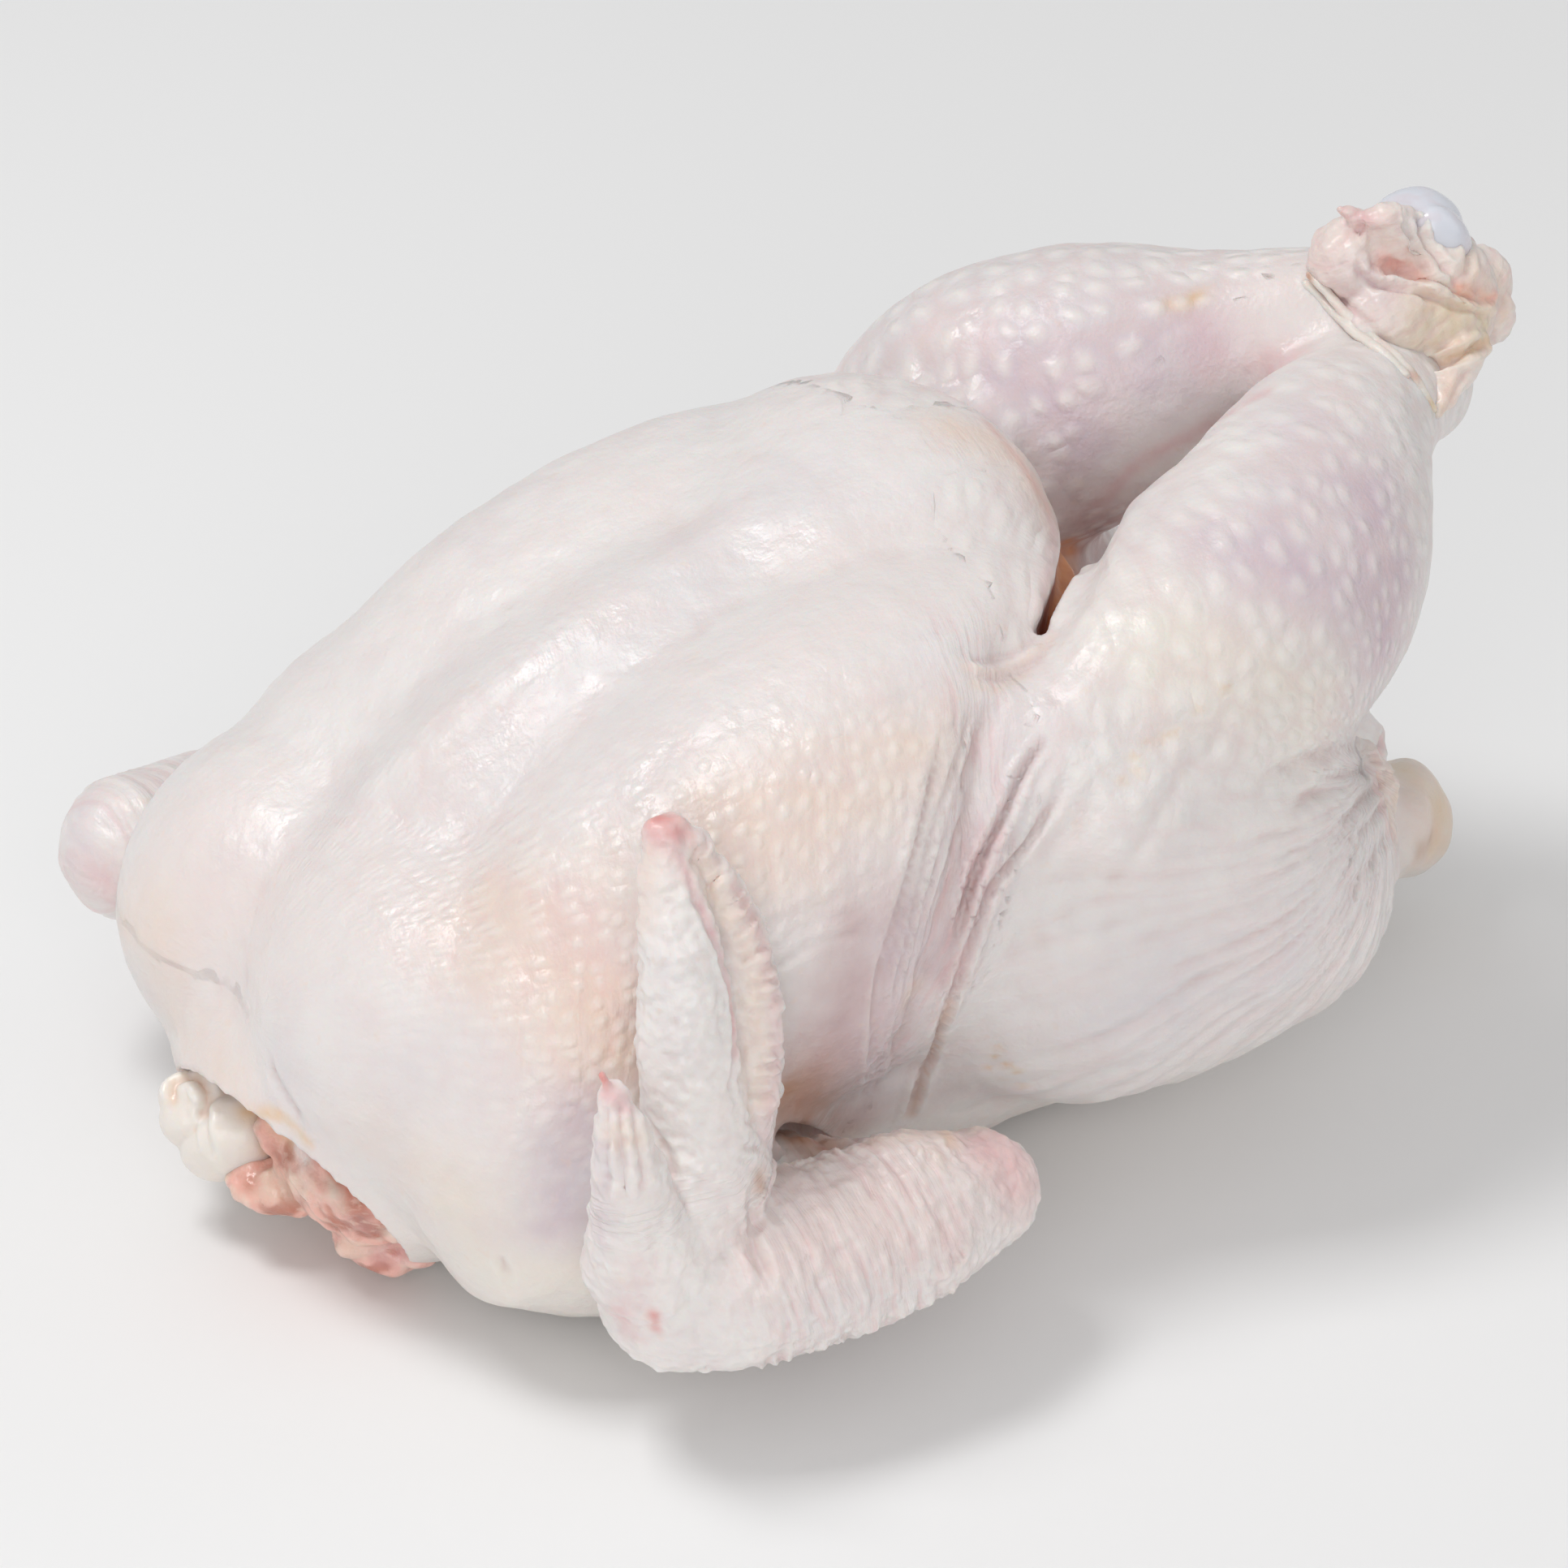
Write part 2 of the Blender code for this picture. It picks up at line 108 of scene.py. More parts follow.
@dataclass(frozen=True)
class Viewpoint:
    """The photograph's camera, in the working frame."""

    azimuth: float = -29.0
    elevation: float = 31.0
    distance: float = 1.1
    pixels_per_metre: float = 7700.0
    sensor: float = 36.0
    aim: Point = (0.079, 0.0, 0.069)

    def axes(self) -> tuple[Vector, Vector, Vector]:
        """The camera's right, up and backward directions.

        Returns:
            The three unit vectors.
        """
        turn, lift = math.radians(self.azimuth), math.radians(self.elevation)
        flat = math.cos(lift)
        back = Vector((math.sin(turn) * flat, -math.cos(turn) * flat, math.sin(lift)))
        right = Vector((math.cos(turn), math.sin(turn), 0.0))
        return right, back.cross(right), back

    def ray(self, pixel: Spot) -> tuple[Vector, Vector]:
        """The line of sight through a pixel.

        Args:
            pixel: Column and row in the photograph.

        Returns:
            The camera's place and the line's direction.
        """
        right, up, back = self.axes()
        reach = self.pixels_per_metre * self.distance
        middle = PHOTO_PIXELS / 2
        way = right * (pixel[0] - middle) - up * (pixel[1] - middle) - back * reach
        return Vector(self.aim) + back * self.distance, way.normalized()

    def across(self, pixel: Spot, y: float) -> Vector:
        """Where the line of sight through a pixel crosses the plane at that Y.

        Args:
            pixel: Column and row in the photograph.
            y: The plane's place.

        Returns:
            The crossing point.
        """
        start, way = self.ray(pixel)
        return start + way * ((y - start.y) / way.y)

    def add_camera(self) -> None:
        """Adds the camera and makes it the scene's."""
        right, up, back = self.axes()
        place = Vector(self.aim) + back * self.distance + SHIFT
        lens = self.sensor * self.pixels_per_metre * self.distance / PHOTO_PIXELS
        data = bpy.data.cameras.new("camera")
        data.sensor_width = self.sensor
        data.lens = lens
        data.clip_start, data.clip_end = 0.05, 20.0
        camera = bpy.data.objects.new("camera", data)
        bpy.context.scene.collection.objects.link(camera)
        camera.matrix_world = Matrix.Translation(place) @ Matrix((right, up, back)).transposed().to_4x4()
        bpy.context.scene.camera = camera


VIEW = Viewpoint()


def select_only(*objects: bpy.types.Object) -> None:
    """Selects these objects alone and makes the first one active.

    Args:
        objects: What to select.
    """
    bpy.ops.object.select_all(action="DESELECT")
    for obj in objects:
        obj.select_set(True)
    bpy.context.view_layer.objects.active = objects[0]


def modify(obj: bpy.types.Object, kind: str, **settings: object) -> None:
    """Adds a modifier to an object and applies it.

    Args:
        obj: The object to change.
        kind: The modifier's type.
        settings: The modifier's properties.
    """
    modifier = obj.modifiers.new(kind.title(), kind)
    for name, value in settings.items():
        setattr(modifier, name, value)
    select_only(obj)
    bpy.ops.object.modifier_apply(modifier=modifier.name)


@dataclass(frozen=True)
class Mass:
    """A rounded mass of muscle, fat or gristle."""

    centre: Point
    radii: Point
    turn: Point = (0.0, 0.0, 0.0)

    def add(self) -> list[bpy.types.Object]:
        """Adds the mass as a stretched, turned ball.

        Returns:
            The new object, in a list.
        """
        bpy.ops.mesh.primitive_uv_sphere_add(
            segments=36,
            ring_count=18,
            location=self.centre,
            rotation=[math.radians(angle) for angle in self.turn],
            scale=self.radii,
        )
        select_only(bpy.context.active_object)
        bpy.ops.object.transform_apply(location=True, rotation=True, scale=True)
        return [bpy.context.active_object]


@dataclass(frozen=True)
class Limb:
    """A tapering tube through stations of (x, y, z, radius), with a round mass at each end."""

    stations: tuple[tuple[float, float, float, float], ...]
    flatness: float = 1.0

    def add(self) -> list[bpy.types.Object]:
        """Adds the tube and its two ends.

        Returns:
            The new objects.
        """
        bpy.ops.curve.primitive_bezier_circle_add(radius=1.0)
        section = bpy.context.active_object
        section.scale = (1.0, self.flatness, 1.0)
        section.data.resolution_u = 6
        curve = bpy.data.curves.new("limb", "CURVE")
        curve.dimensions = "3D"
        curve.resolution_u = 8
        curve.bevel_mode = "OBJECT"
        curve.bevel_object = section
        curve.use_fill_caps = True
        curve.twist_mode = "MINIMUM" if self.flatness == 1.0 else "Z_UP"
        spline = curve.splines.new("BEZIER")
        spline.bezier_points.add(len(self.stations) - 1)
        spline.radius_interpolation = "CARDINAL"
        for point, (x, y, z, radius) in zip(spline.bezier_points, self.stations):
            point.co = (x, y, z)
            point.radius = radius
            point.handle_left_type = "AUTO"
            point.handle_right_type = "AUTO"
        tube = bpy.data.objects.new("limb", curve)
        bpy.context.scene.collection.objects.link(tube)
        bpy.context.view_layer.update()
        select_only(tube)
        bpy.ops.object.convert(target="MESH")
        pieces = [bpy.context.active_object]
        bpy.data.objects.remove(section)
        for x, y, z, radius in (self.stations[0], self.stations[-1]):
            end = radius * (1 + self.flatness) / 2
            pieces += Mass((x, y, z), (end, end, end)).add()
        return pieces


def photo_limb(spots: tuple[tuple[float, float, float, float], ...], flatness: float = 1.0) -> Limb:
    """A limb whose stations are given as the photograph shows them.

    Args:
        spots: Column, row, place in Y and radius of each station.
        flatness: The section's height over its width.

    Returns:
        The limb.
    """
    stations = [(*VIEW.across((column, row), y), radius) for column, row, y, radius in spots]
    return Limb(tuple(stations), flatness)


def photo_mass(column: float, row: float, y: float, radii: Point, turn: Point = (0.0, 0.0, 0.0)) -> Mass:
    """A mass whose middle is given as the photograph shows it.

    Args:
        column: The middle's column.
        row: The middle's row.
        y: The middle's place in Y.
        radii: The mass's radii.
        turn: The mass's turn.

    Returns:
        The mass.
    """
    return Mass(tuple(VIEW.across((column, row), y)), radii, turn)


def fuse(name: str, masses: list[Mass | Limb], voxel: float, relax: int) -> bpy.types.Object:
    """One smooth skin over overlapping masses: joined, remeshed in voxels and relaxed.

    Args:
        name: The new object's name.
        masses: What to join.
        voxel: The remesh's fineness.
        relax: How many times the points are smoothed.

    Returns:
        The fused object.
    """
    pieces = [obj for mass in masses for obj in mass.add()]
    select_only(*pieces)
    bpy.ops.object.join()
    fused = bpy.context.active_object
    fused.name = name
    remesh(fused, voxel, relax)
    return fused


def remesh(obj: bpy.types.Object, voxel: float, relax: int) -> None:
    """Remeshes an object in voxels and smooths it.

    Args:
        obj: The object to change.
        voxel: The remesh's fineness.
        relax: How many times the points are smoothed.
    """
    modify(obj, "REMESH", mode="VOXEL", voxel_size=voxel)
    modify(obj, "SMOOTH", factor=0.5, iterations=relax)


def carve(obj: bpy.types.Object, tools: list[bpy.types.Object]) -> None:
    """Cuts the tools away from an object and removes them.

    Args:
        obj: The object to change.
        tools: What to cut away.
    """
    for tool in tools:
        modify(obj, "BOOLEAN", operation="DIFFERENCE", solver="MANIFOLD", object=tool)
        bpy.data.objects.remove(tool)


def smooth_route(spots: np.ndarray, spacing: float) -> np.ndarray:
    """Evenly spaced samples of a smooth curve through the given spots.

    Args:
        spots: The curve's own points, one in each row.
        spacing: The distance between samples, in the spots' own unit.

    Returns:
        The samples, one in each row.
    """
    if len(spots) < 2:
        return spots
    knots = np.vstack([spots[:1], spots, spots[-1:]])
    found = []
    for before, start, end, after in zip(knots, knots[1:], knots[2:], knots[3:]):
        steps = max(2, int(np.linalg.norm(end - start) / spacing))
        t = (np.arange(steps) / steps)[:, None]
        linear = 2 * start + (end - before) * t
        square = (2 * before - 5 * start + 4 * end - after) * t**2
        cube = (3 * start - before - 3 * end + after) * t**3
        found.append(0.5 * (linear + square + cube))
    return np.vstack([*found, spots[-1:]])


def bell(away: np.ndarray, width: float) -> np.ndarray:
    """A smooth weight that is 1 at no distance and falls to 0 away from there."""
    return np.exp(-((away / width) ** 2))


def rise(values: np.ndarray, low: float, high: float) -> np.ndarray:
    """A smooth step from 0 at the low value to 1 at the high one."""
    t = np.clip((values - low) / (high - low), 0, 1)
    return t * t * (3 - 2 * t)


def fall(values: np.ndarray, low: float, high: float) -> np.ndarray:
    """A smooth step from 1 at the low value to 0 at the high one."""
    return rise(-values, -high, -low)


def flow_of(across: np.ndarray, along: np.ndarray) -> np.ndarray:
    """Places across and along the wrinkles, one point in each row."""
    return np.stack([across, along, np.zeros_like(across)], axis=1)


class Clay:
    """A piece's surface, moved and coloured as a modeller works clay."""

    def __init__(self, obj: bpy.types.Object) -> None:
        """Reads the surface of an object.

        Args:
            obj: The piece to work on.
        """
        self.obj = obj
        self.read()
        self.lay_out()

    def read(self) -> None:
        """Reads the piece's points and normals."""
        count = len(self.obj.data.vertices)
        self.points = np.empty(count * 3)
        self.normals = np.empty(count * 3)
        self.obj.data.vertices.foreach_get("co", self.points)
        self.obj.data.vertices.foreach_get("normal", self.normals)
        self.points = self.points.reshape(-1, 3)
        self.normals = self.normals.reshape(-1, 3)

    def lay_out(self) -> None:
        """Makes the tree that routes are laid onto, and starts the colours afresh."""
        faces = [tuple(face.vertices) for face in self.obj.data.polygons]
        self.tree = BVHTree.FromPolygons(self.points.tolist(), faces)
        self.tones = np.tile(np.array(Tone.CREAM.value), (len(self.points), 1))

    def write(self) -> None:
        """Writes the moved points back and reads the new normals."""
        self.obj.data.vertices.foreach_set("co", self.points.ravel())
        self.obj.data.update()
        self.read()

    def lay(self, spots: tuple[Spot, ...]) -> np.ndarray:
        """Lays a route onto the surface.

        Args:
            spots: Pixels of the photograph, or points near the surface.

        Returns:
            Closely spaced points on the surface, one in each row.
        """
        start = np.array(spots, float)
        found = []
        if start.shape[1] == 2:
            for pixel in smooth_route(start, PIXEL_STEP):
                found.append(self.seen_at(pixel))
        else:
            for point in smooth_route(start, POINT_STEP):
                found.append(self.tree.find_nearest(Vector(point))[0])
        return np.array(found)

    def seen_at(self, pixel: Spot) -> Vector:
        """The surface point that the photograph shows at a pixel, or the nearest one beside it.

        Args:
            pixel: Column and row in the photograph.

        Returns:
            The point.
        """
        start, way = VIEW.ray(pixel)
        hit = self.tree.ray_cast(start, way)[0]
        if hit is None:
            middle = Vector(self.points.mean(axis=0))
            hit = self.tree.find_nearest(start + way * (middle - start).dot(way))[0]
        return hit

    def reach(self, route: np.ndarray, width: float) -> tuple[np.ndarray, np.ndarray, np.ndarray]:
        """The surface points near a route.

        Args:
            route: Points on the surface.
            width: How far from the route to look.

        Returns:
            The points' indexes, their distances, and how far along the route each one is, from 0 to 1.
        """
        inside = (self.points > route.min(axis=0) - width) & (self.points < route.max(axis=0) + width)
        near = np.flatnonzero(inside.all(axis=1))
        away = np.full(len(near), np.inf)
        step = np.zeros(len(near), int)
        for i, place in enumerate(route):
            gap = ((self.points[near] - place) ** 2).sum(axis=1)
            closer = gap < away
            away[closer] = gap[closer]
            step[closer] = i
        return near, np.sqrt(away), step / max(len(route) - 1, 1)

    def near(self, spots: tuple[Spot, ...], width: float) -> np.ndarray:
        """A weight for every point: 1 on a route, falling to 0 away from it.

        Args:
            spots: The route.
            width: The weight's half width.

        Returns:
            The weights.
        """
        weights = np.zeros(len(self.points))
        which, away, _ = self.reach(self.lay(spots)[::4], 2.5 * width)
        weights[which] = bell(away, width)
        return weights

    def lift(self, heights: np.ndarray, which: np.ndarray | slice = slice(None)) -> None:
        """Moves points along their normals.

        Args:
            heights: How far each one moves, in metres.
            which: The points' indexes.
        """
        self.points[which] += self.normals[which] * heights[:, None]

    def press(self, spots: tuple[Spot, ...], width: float, depth: float, lips: float = 0.0) -> None:
        """Presses a groove into the surface along a route, or raises a ridge if the depth is negative.

        Args:
            spots: The route.
            width: The groove's half width.
            depth: How deep it goes.
            lips: How high the skin rises beside it, as a share of the depth.
        """
        route = self.lay(spots)
        near, away, along = self.reach(route, 4 * width)
        fade = np.clip(np.minimum(along, 1 - along) * 6 + 0.15, 0, 1)
        away = away / width
        profile = bell(away, 1.0) - lips * bell(away - LIP_PLACE, LIP_WIDTH)
        self.lift(-depth * fade * profile, near)

    def swell(self, spots: tuple[Spot, ...], radius: float, height: float) -> None:
        """Raises a soft mound along a route or round a spot.

        Args:
            spots: The route or spot.
            radius: The mound's half width.
            height: How high it rises.
        """
        near, away, _ = self.reach(self.lay(spots), 3 * radius)
        self.lift(height * bell(away, radius), near)

    def beads(self, spots: tuple[Spot, ...], pitch: float, width: float, height: float) -> None:
        """Raises a row of small bumps across a route, such as the sockets along a wing's edge.

        Args:
            spots: The route.
            pitch: The distance from bump to bump.
            width: The row's half width.
            height: How high the bumps rise.
        """
        route = self.lay(spots)
        length = np.linalg.norm(np.diff(route, axis=0), axis=1).sum()
        near, away, along = self.reach(route, 3 * width)
        phase = along * length / pitch + 0.35 * np.sin(along * length / pitch * 1.7)
        wave = (0.5 + 0.5 * np.cos(2 * math.pi * phase)) ** 1.5
        self.lift(height * wave * bell(away, width), near)

    def mould(self, size: float, height: float, seed: int, weight: np.ndarray | float = 1.0) -> None:
        """Gives the whole surface uneven swells.

        Args:
            size: The swells' size.
            height: How high they rise.
            seed: Which pattern to use.
            weight: How much of it each point gets.
        """
        self.lift(self.grain(self.points / size, seed) * height * weight)

    def grain(self, places: np.ndarray, seed: int) -> np.ndarray:
        """Smooth noise at the given places.

        Args:
            places: One place in each row, in units of the pattern's size.
            seed: Which pattern to use.

        Returns:
            A value of about -1 to 1 for each place.
        """
        start = Vector((seed * 3.7, seed * 1.3, seed * 2.1))
        return np.array([noise.noise(Vector(place) + start) for place in places])

    def settle(self, softness: float = 0.0012) -> None:
        """Flattens what is lower than the base, as soft meat lies on a board.

        Args:
            softness: How gradually the surface turns flat.
        """
        height = (self.points[:, 2] - BASE_HEIGHT) / softness
        low = height < 20
        self.points[low, 2] = BASE_HEIGHT + softness * np.log1p(np.exp(height[low]))

    def tint(self, spots: tuple[Spot, ...], width: float, tone: Tone, strength: float) -> None:
        """Colours the surface along a route or round a spot.

        Args:
            spots: The route or spot.
            width: The patch's half width.
            tone: Its colour.
            strength: How much of the colour shows in the middle.
        """
        near, away, _ = self.reach(self.lay(spots), 2.6 * width)
        uneven = 1 + RAGGEDNESS * self.grain(self.points[near] / max(width * 0.5, 2 * MILLIMETRE), 5)
        share = np.clip(strength * uneven * bell(away, width), 0, 1)
        self.tint_by(share, tone, near)

    def wash(self, tone: Tone, strength: float) -> None:
        """Mixes a colour evenly into the whole surface."""
        self.tint_by(np.full(len(self.points), strength), tone)

    def tint_by(self, share: np.ndarray, tone: Tone, which: np.ndarray | slice = slice(None)) -> None:
        """Mixes a colour into points.

        Args:
            share: How much of the colour each one gets.
            tone: The colour.
            which: The points' indexes.
        """
        share = share[:, None]
        self.tones[which] = self.tones[which] * (1 - share) + np.array(tone.value) * share

    def hollows(self, rounds: int) -> np.ndarray:
        """How far each point lies below the surface round it.

        Args:
            rounds: How wide to look, in steps from point to point.

        Returns:
            The depth of each point in metres, which is negative where the surface bulges.
        """
        mesh = self.obj.data
        ends = np.empty(len(mesh.edges) * 2, np.int64)
        mesh.edges.foreach_get("vertices", ends)
        first, second = ends.reshape(-1, 2).T
        both, other = np.concatenate([first, second]), np.concatenate([second, first])
        count = np.bincount(both, minlength=len(self.points))[:, None]
        smooth = self.points
        for _ in range(rounds):
            sums = [np.bincount(both, smooth[other, axis], len(self.points)) for axis in range(3)]
            smooth = np.stack(sums, axis=1) / count
        return ((smooth - self.points) * self.normals).sum(axis=1)

    def paint_hollow_shade_and_crest_light(self, rounds: int, depth: float, low: Tone, strength: float) -> None:
        """Paints shade into the hollows of the surface, and paints light onto its crests by paling them.

        Args:
            rounds: How wide to look, in steps from point to point.
            depth: The depth that gets the full colour.
            low: The colour of the painted shade in the hollows.
            strength: How much of it shows.
        """
        depths = self.hollows(rounds) / depth
        # Painted shade in the hollows, then painted light on the crests.
        self.tint_by(strength * rise(depths, 0.05, 1.0), low)
        self.tint_by(0.6 * strength * rise(-depths, 0.15, 1.2), Tone.PALE)

    def thin(self) -> None:
        """Takes out the points that the shape needs least, where there are too many."""
        self.obj.data.calc_loop_triangles()
        count = len(self.obj.data.loop_triangles)
        if count > MOST_TRIANGLES:
            modify(self.obj, "DECIMATE", ratio=MOST_TRIANGLES / count)
        self.read()
        self.lay_out()

    def keep(self, name: str, values: np.ndarray) -> None:
        """Stores one value, vector or colour for each point, for the finishes to read.

        Args:
            name: The attribute's name.
            values: The values, one in each row.
        """
        kinds = {1: ("FLOAT", "value"), 3: ("FLOAT_VECTOR", "vector"), 4: ("FLOAT_COLOR", "color")}
        kind, member = kinds[1 if values.ndim == 1 else values.shape[1]]
        layer = self.obj.data.attributes.new(name, kind, "POINT")
        layer.data.foreach_set(member, np.ascontiguousarray(values, np.float32).ravel())

    def keep_tone(self) -> None:
        """Stores the colours."""
        self.keep("tone", np.hstack([self.tones, np.ones((len(self.tones), 1))]))

    def keep_skin(self, flow: np.ndarray, sockets: np.ndarray | float, wrinkles: np.ndarray | float) -> None:
        """Stores what the skin's finish reads.

        Args:
            flow: Place across and along the wrinkles.
            sockets: How strongly the feather sockets show.
            wrinkles: How strongly the wrinkles show.
        """
        everywhere = np.ones(len(flow))
        self.keep_tone()
        self.keep("flow", flow)
        self.keep("sockets", np.clip(sockets * everywhere, 0, 1))
        self.keep("wrinkles", np.clip(wrinkles * everywhere, 0, 1))


class Sheet:
    """A material's nodes, put down one at a time."""

    def __init__(self, name: str) -> None:
        """Starts a material.

        Args:
            name: The material's name.
        """
        self.material = bpy.data.materials.new(name)
        self.material.use_nodes = True
        self.tree = self.material.node_tree
        self.shader = self.tree.nodes["Principled BSDF"]
        self.place = self.node("ShaderNodeTexCoord").outputs["Object"]

    def node(self, kind: str, **settings: object) -> bpy.types.Node:
        """Adds a node.

        Args:
            kind: The node's type.
            settings: Its properties.

        Returns:
            The node.
        """
        made = self.tree.nodes.new(kind)
        for name, value in settings.items():
            setattr(made, name, value)
        return made

    def feed(self, socket: bpy.types.NodeSocket, source: object) -> None:
        """Links a socket to a source, or sets it if the source is a plain value.

        Args:
            socket: The input.
            source: An output, a number or a colour.
        """
        if isinstance(source, bpy.types.NodeSocket):
            self.tree.links.new(source, socket)
        else:
            socket.default_value = source

    def attribute(self, name: str, output: str) -> bpy.types.NodeSocket:
        """One output of a stored attribute."""
        return self.node("ShaderNodeAttribute", attribute_name=name).outputs[output]

    def maths(self, operation: str, *values: object) -> bpy.types.NodeSocket:
        """Adds Math nodes that take the values in one after the other.

        Args:
            operation: What each node works out.
            values: The inputs, in order.

        Returns:
            The last node's output.
        """
        result = values[0]
        for value in values[1:]:
            made = self.node("ShaderNodeMath", operation=operation)
            self.feed(made.inputs[0], result)
            self.feed(made.inputs[1], value)
            result = made.outputs[0]
        return result

    def times(self, *factors: object) -> bpy.types.NodeSocket:
        """The product of several values."""
        return self.maths("MULTIPLY", *factors)

    def total(self, *values: object) -> bpy.types.NodeSocket:
        """The sum of several values."""
        return self.maths("ADD", *values)

    def stretch(self, vector: object, scale: Point) -> bpy.types.NodeSocket:
        """Multiplies a vector by a scale on each axis.

        Args:
            vector: The vector.
            scale: The scale.

        Returns:
            The stretched vector.
        """
        made = self.node("ShaderNodeVectorMath", operation="MULTIPLY")
        self.feed(made.inputs[0], vector)
        self.feed(made.inputs[1], scale)
        return made.outputs[0]

    def noise(self, vector: object, scale: float, detail: float = 2.0) -> bpy.types.NodeSocket:
        """Noise of a given fineness.

        Args:
            vector: Where to find it.
            scale: Its features to each unit of the vector.
            detail: How many finer layers it has.

        Returns:
            Its value.
        """
        made = self.node("ShaderNodeTexNoise")
        self.feed(made.inputs["Vector"], vector)
        made.inputs["Scale"].default_value = scale
        made.inputs["Detail"].default_value = detail
        return made.outputs["Fac"]

    def cells(self, vector: object, pitch: float, jitter: float) -> bpy.types.NodeSocket:
        """Distance to the nearest of a loose lattice of spots, in units of its pitch.

        Args:
            vector: Where to find it.
            pitch: The distance between spots.
            jitter: How loose the lattice is, from 0 to 1.

        Returns:
            The distance.
        """
        made = self.node("ShaderNodeTexVoronoi", voronoi_dimensions="2D")
        self.feed(made.inputs["Vector"], vector)
        made.inputs["Scale"].default_value = 1 / pitch
        made.inputs["Randomness"].default_value = jitter
        return made.outputs["Distance"]

    def step(self, source: object, low: float, high: float) -> bpy.types.NodeSocket:
        """A smooth step of a value.

        Args:
            source: The value.
            low: Where the step is 0.
            high: Where it is 1.

        Returns:
            The step.
        """
        made = self.node("ShaderNodeMapRange", interpolation_type="SMOOTHSTEP")
        self.feed(made.inputs["Value"], source)
        made.inputs["From Min"].default_value = low
        made.inputs["From Max"].default_value = high
        return made.outputs["Result"]

    def blend(self, share: object, first: object, second: object) -> bpy.types.NodeSocket:
        """Mixes two colours.

        Args:
            share: How much of the second one shows.
            first: The first colour.
            second: The second colour.

        Returns:
            The mixed colour.
        """
        made = self.node("ShaderNodeMix", data_type="RGBA")
        self.feed(made.inputs[0], share)
        self.feed(made.inputs[6], (*first, 1.0) if isinstance(first, tuple) else first)
        self.feed(made.inputs[7], (*second, 1.0) if isinstance(second, tuple) else second)
        return made.outputs[2]

    def bumps(self, scale: float, detail: float, height: float) -> bpy.types.NodeSocket:
        """Uneven bumps of a fineness and a height in metres."""
        return self.times(self.noise(self.place, scale, detail), height)

    def gloss(self, scale: float, spread: float, least: float) -> None:
        """Makes the surface unevenly rough: from the least value up, by the spread."""
        film = self.times(self.noise(self.place, scale), spread)
        self.feed(self.shader.inputs["Roughness"], self.total(film, least))

    def relief(self, height: bpy.types.NodeSocket) -> None:
        """Shades the surface as if it were raised.

        Args:
            height: How high, in metres.
        """
        made = self.node("ShaderNodeBump")
        made.inputs["Strength"].default_value = 1.0
        made.inputs["Distance"].default_value = 1.0
        self.feed(made.inputs["Height"], height)
        self.feed(self.shader.inputs["Normal"], made.outputs["Normal"])

    def flesh(self, depth: float, weight: float, spread: Point) -> None:
        """Lets light into the surface.

        Args:
            depth: How deep red light goes.
            weight: How much of the light goes in.
            spread: The depths of red, green and blue as shares of it.
        """
        self.shader.inputs["Subsurface Weight"].default_value = weight
        self.shader.inputs["Subsurface Radius"].default_value = spread
        self.shader.inputs["Subsurface Scale"].default_value = depth

    def wet(self, coat: float, coat_roughness: float, specular: float = 0.5) -> None:
        """Lays a film of moisture on the surface.

        Args:
            coat: How strong the film is.
            coat_roughness: How rough the film is.
            specular: How strongly the surface under it shines.
        """
        self.shader.inputs["Coat Weight"].default_value = coat
        self.shader.inputs["Coat Roughness"].default_value = coat_roughness
        self.shader.inputs["Specular IOR Level"].default_value = specular


@dataclass(frozen=True)
class Mottle:
    """Soft-edged patches of another colour, where noise of a given fineness is high."""

    scale: float
    detail: float
    low: float
    high: float
    share: float
    colour: Colour

    def lay(self, sheet: Sheet, tone: bpy.types.NodeSocket) -> bpy.types.NodeSocket:
        """Mixes the patches into a colour."""
        cover = sheet.step(sheet.noise(sheet.place, self.scale, self.detail), self.low, self.high)
        return sheet.blend(sheet.times(cover, self.share), tone, self.colour)


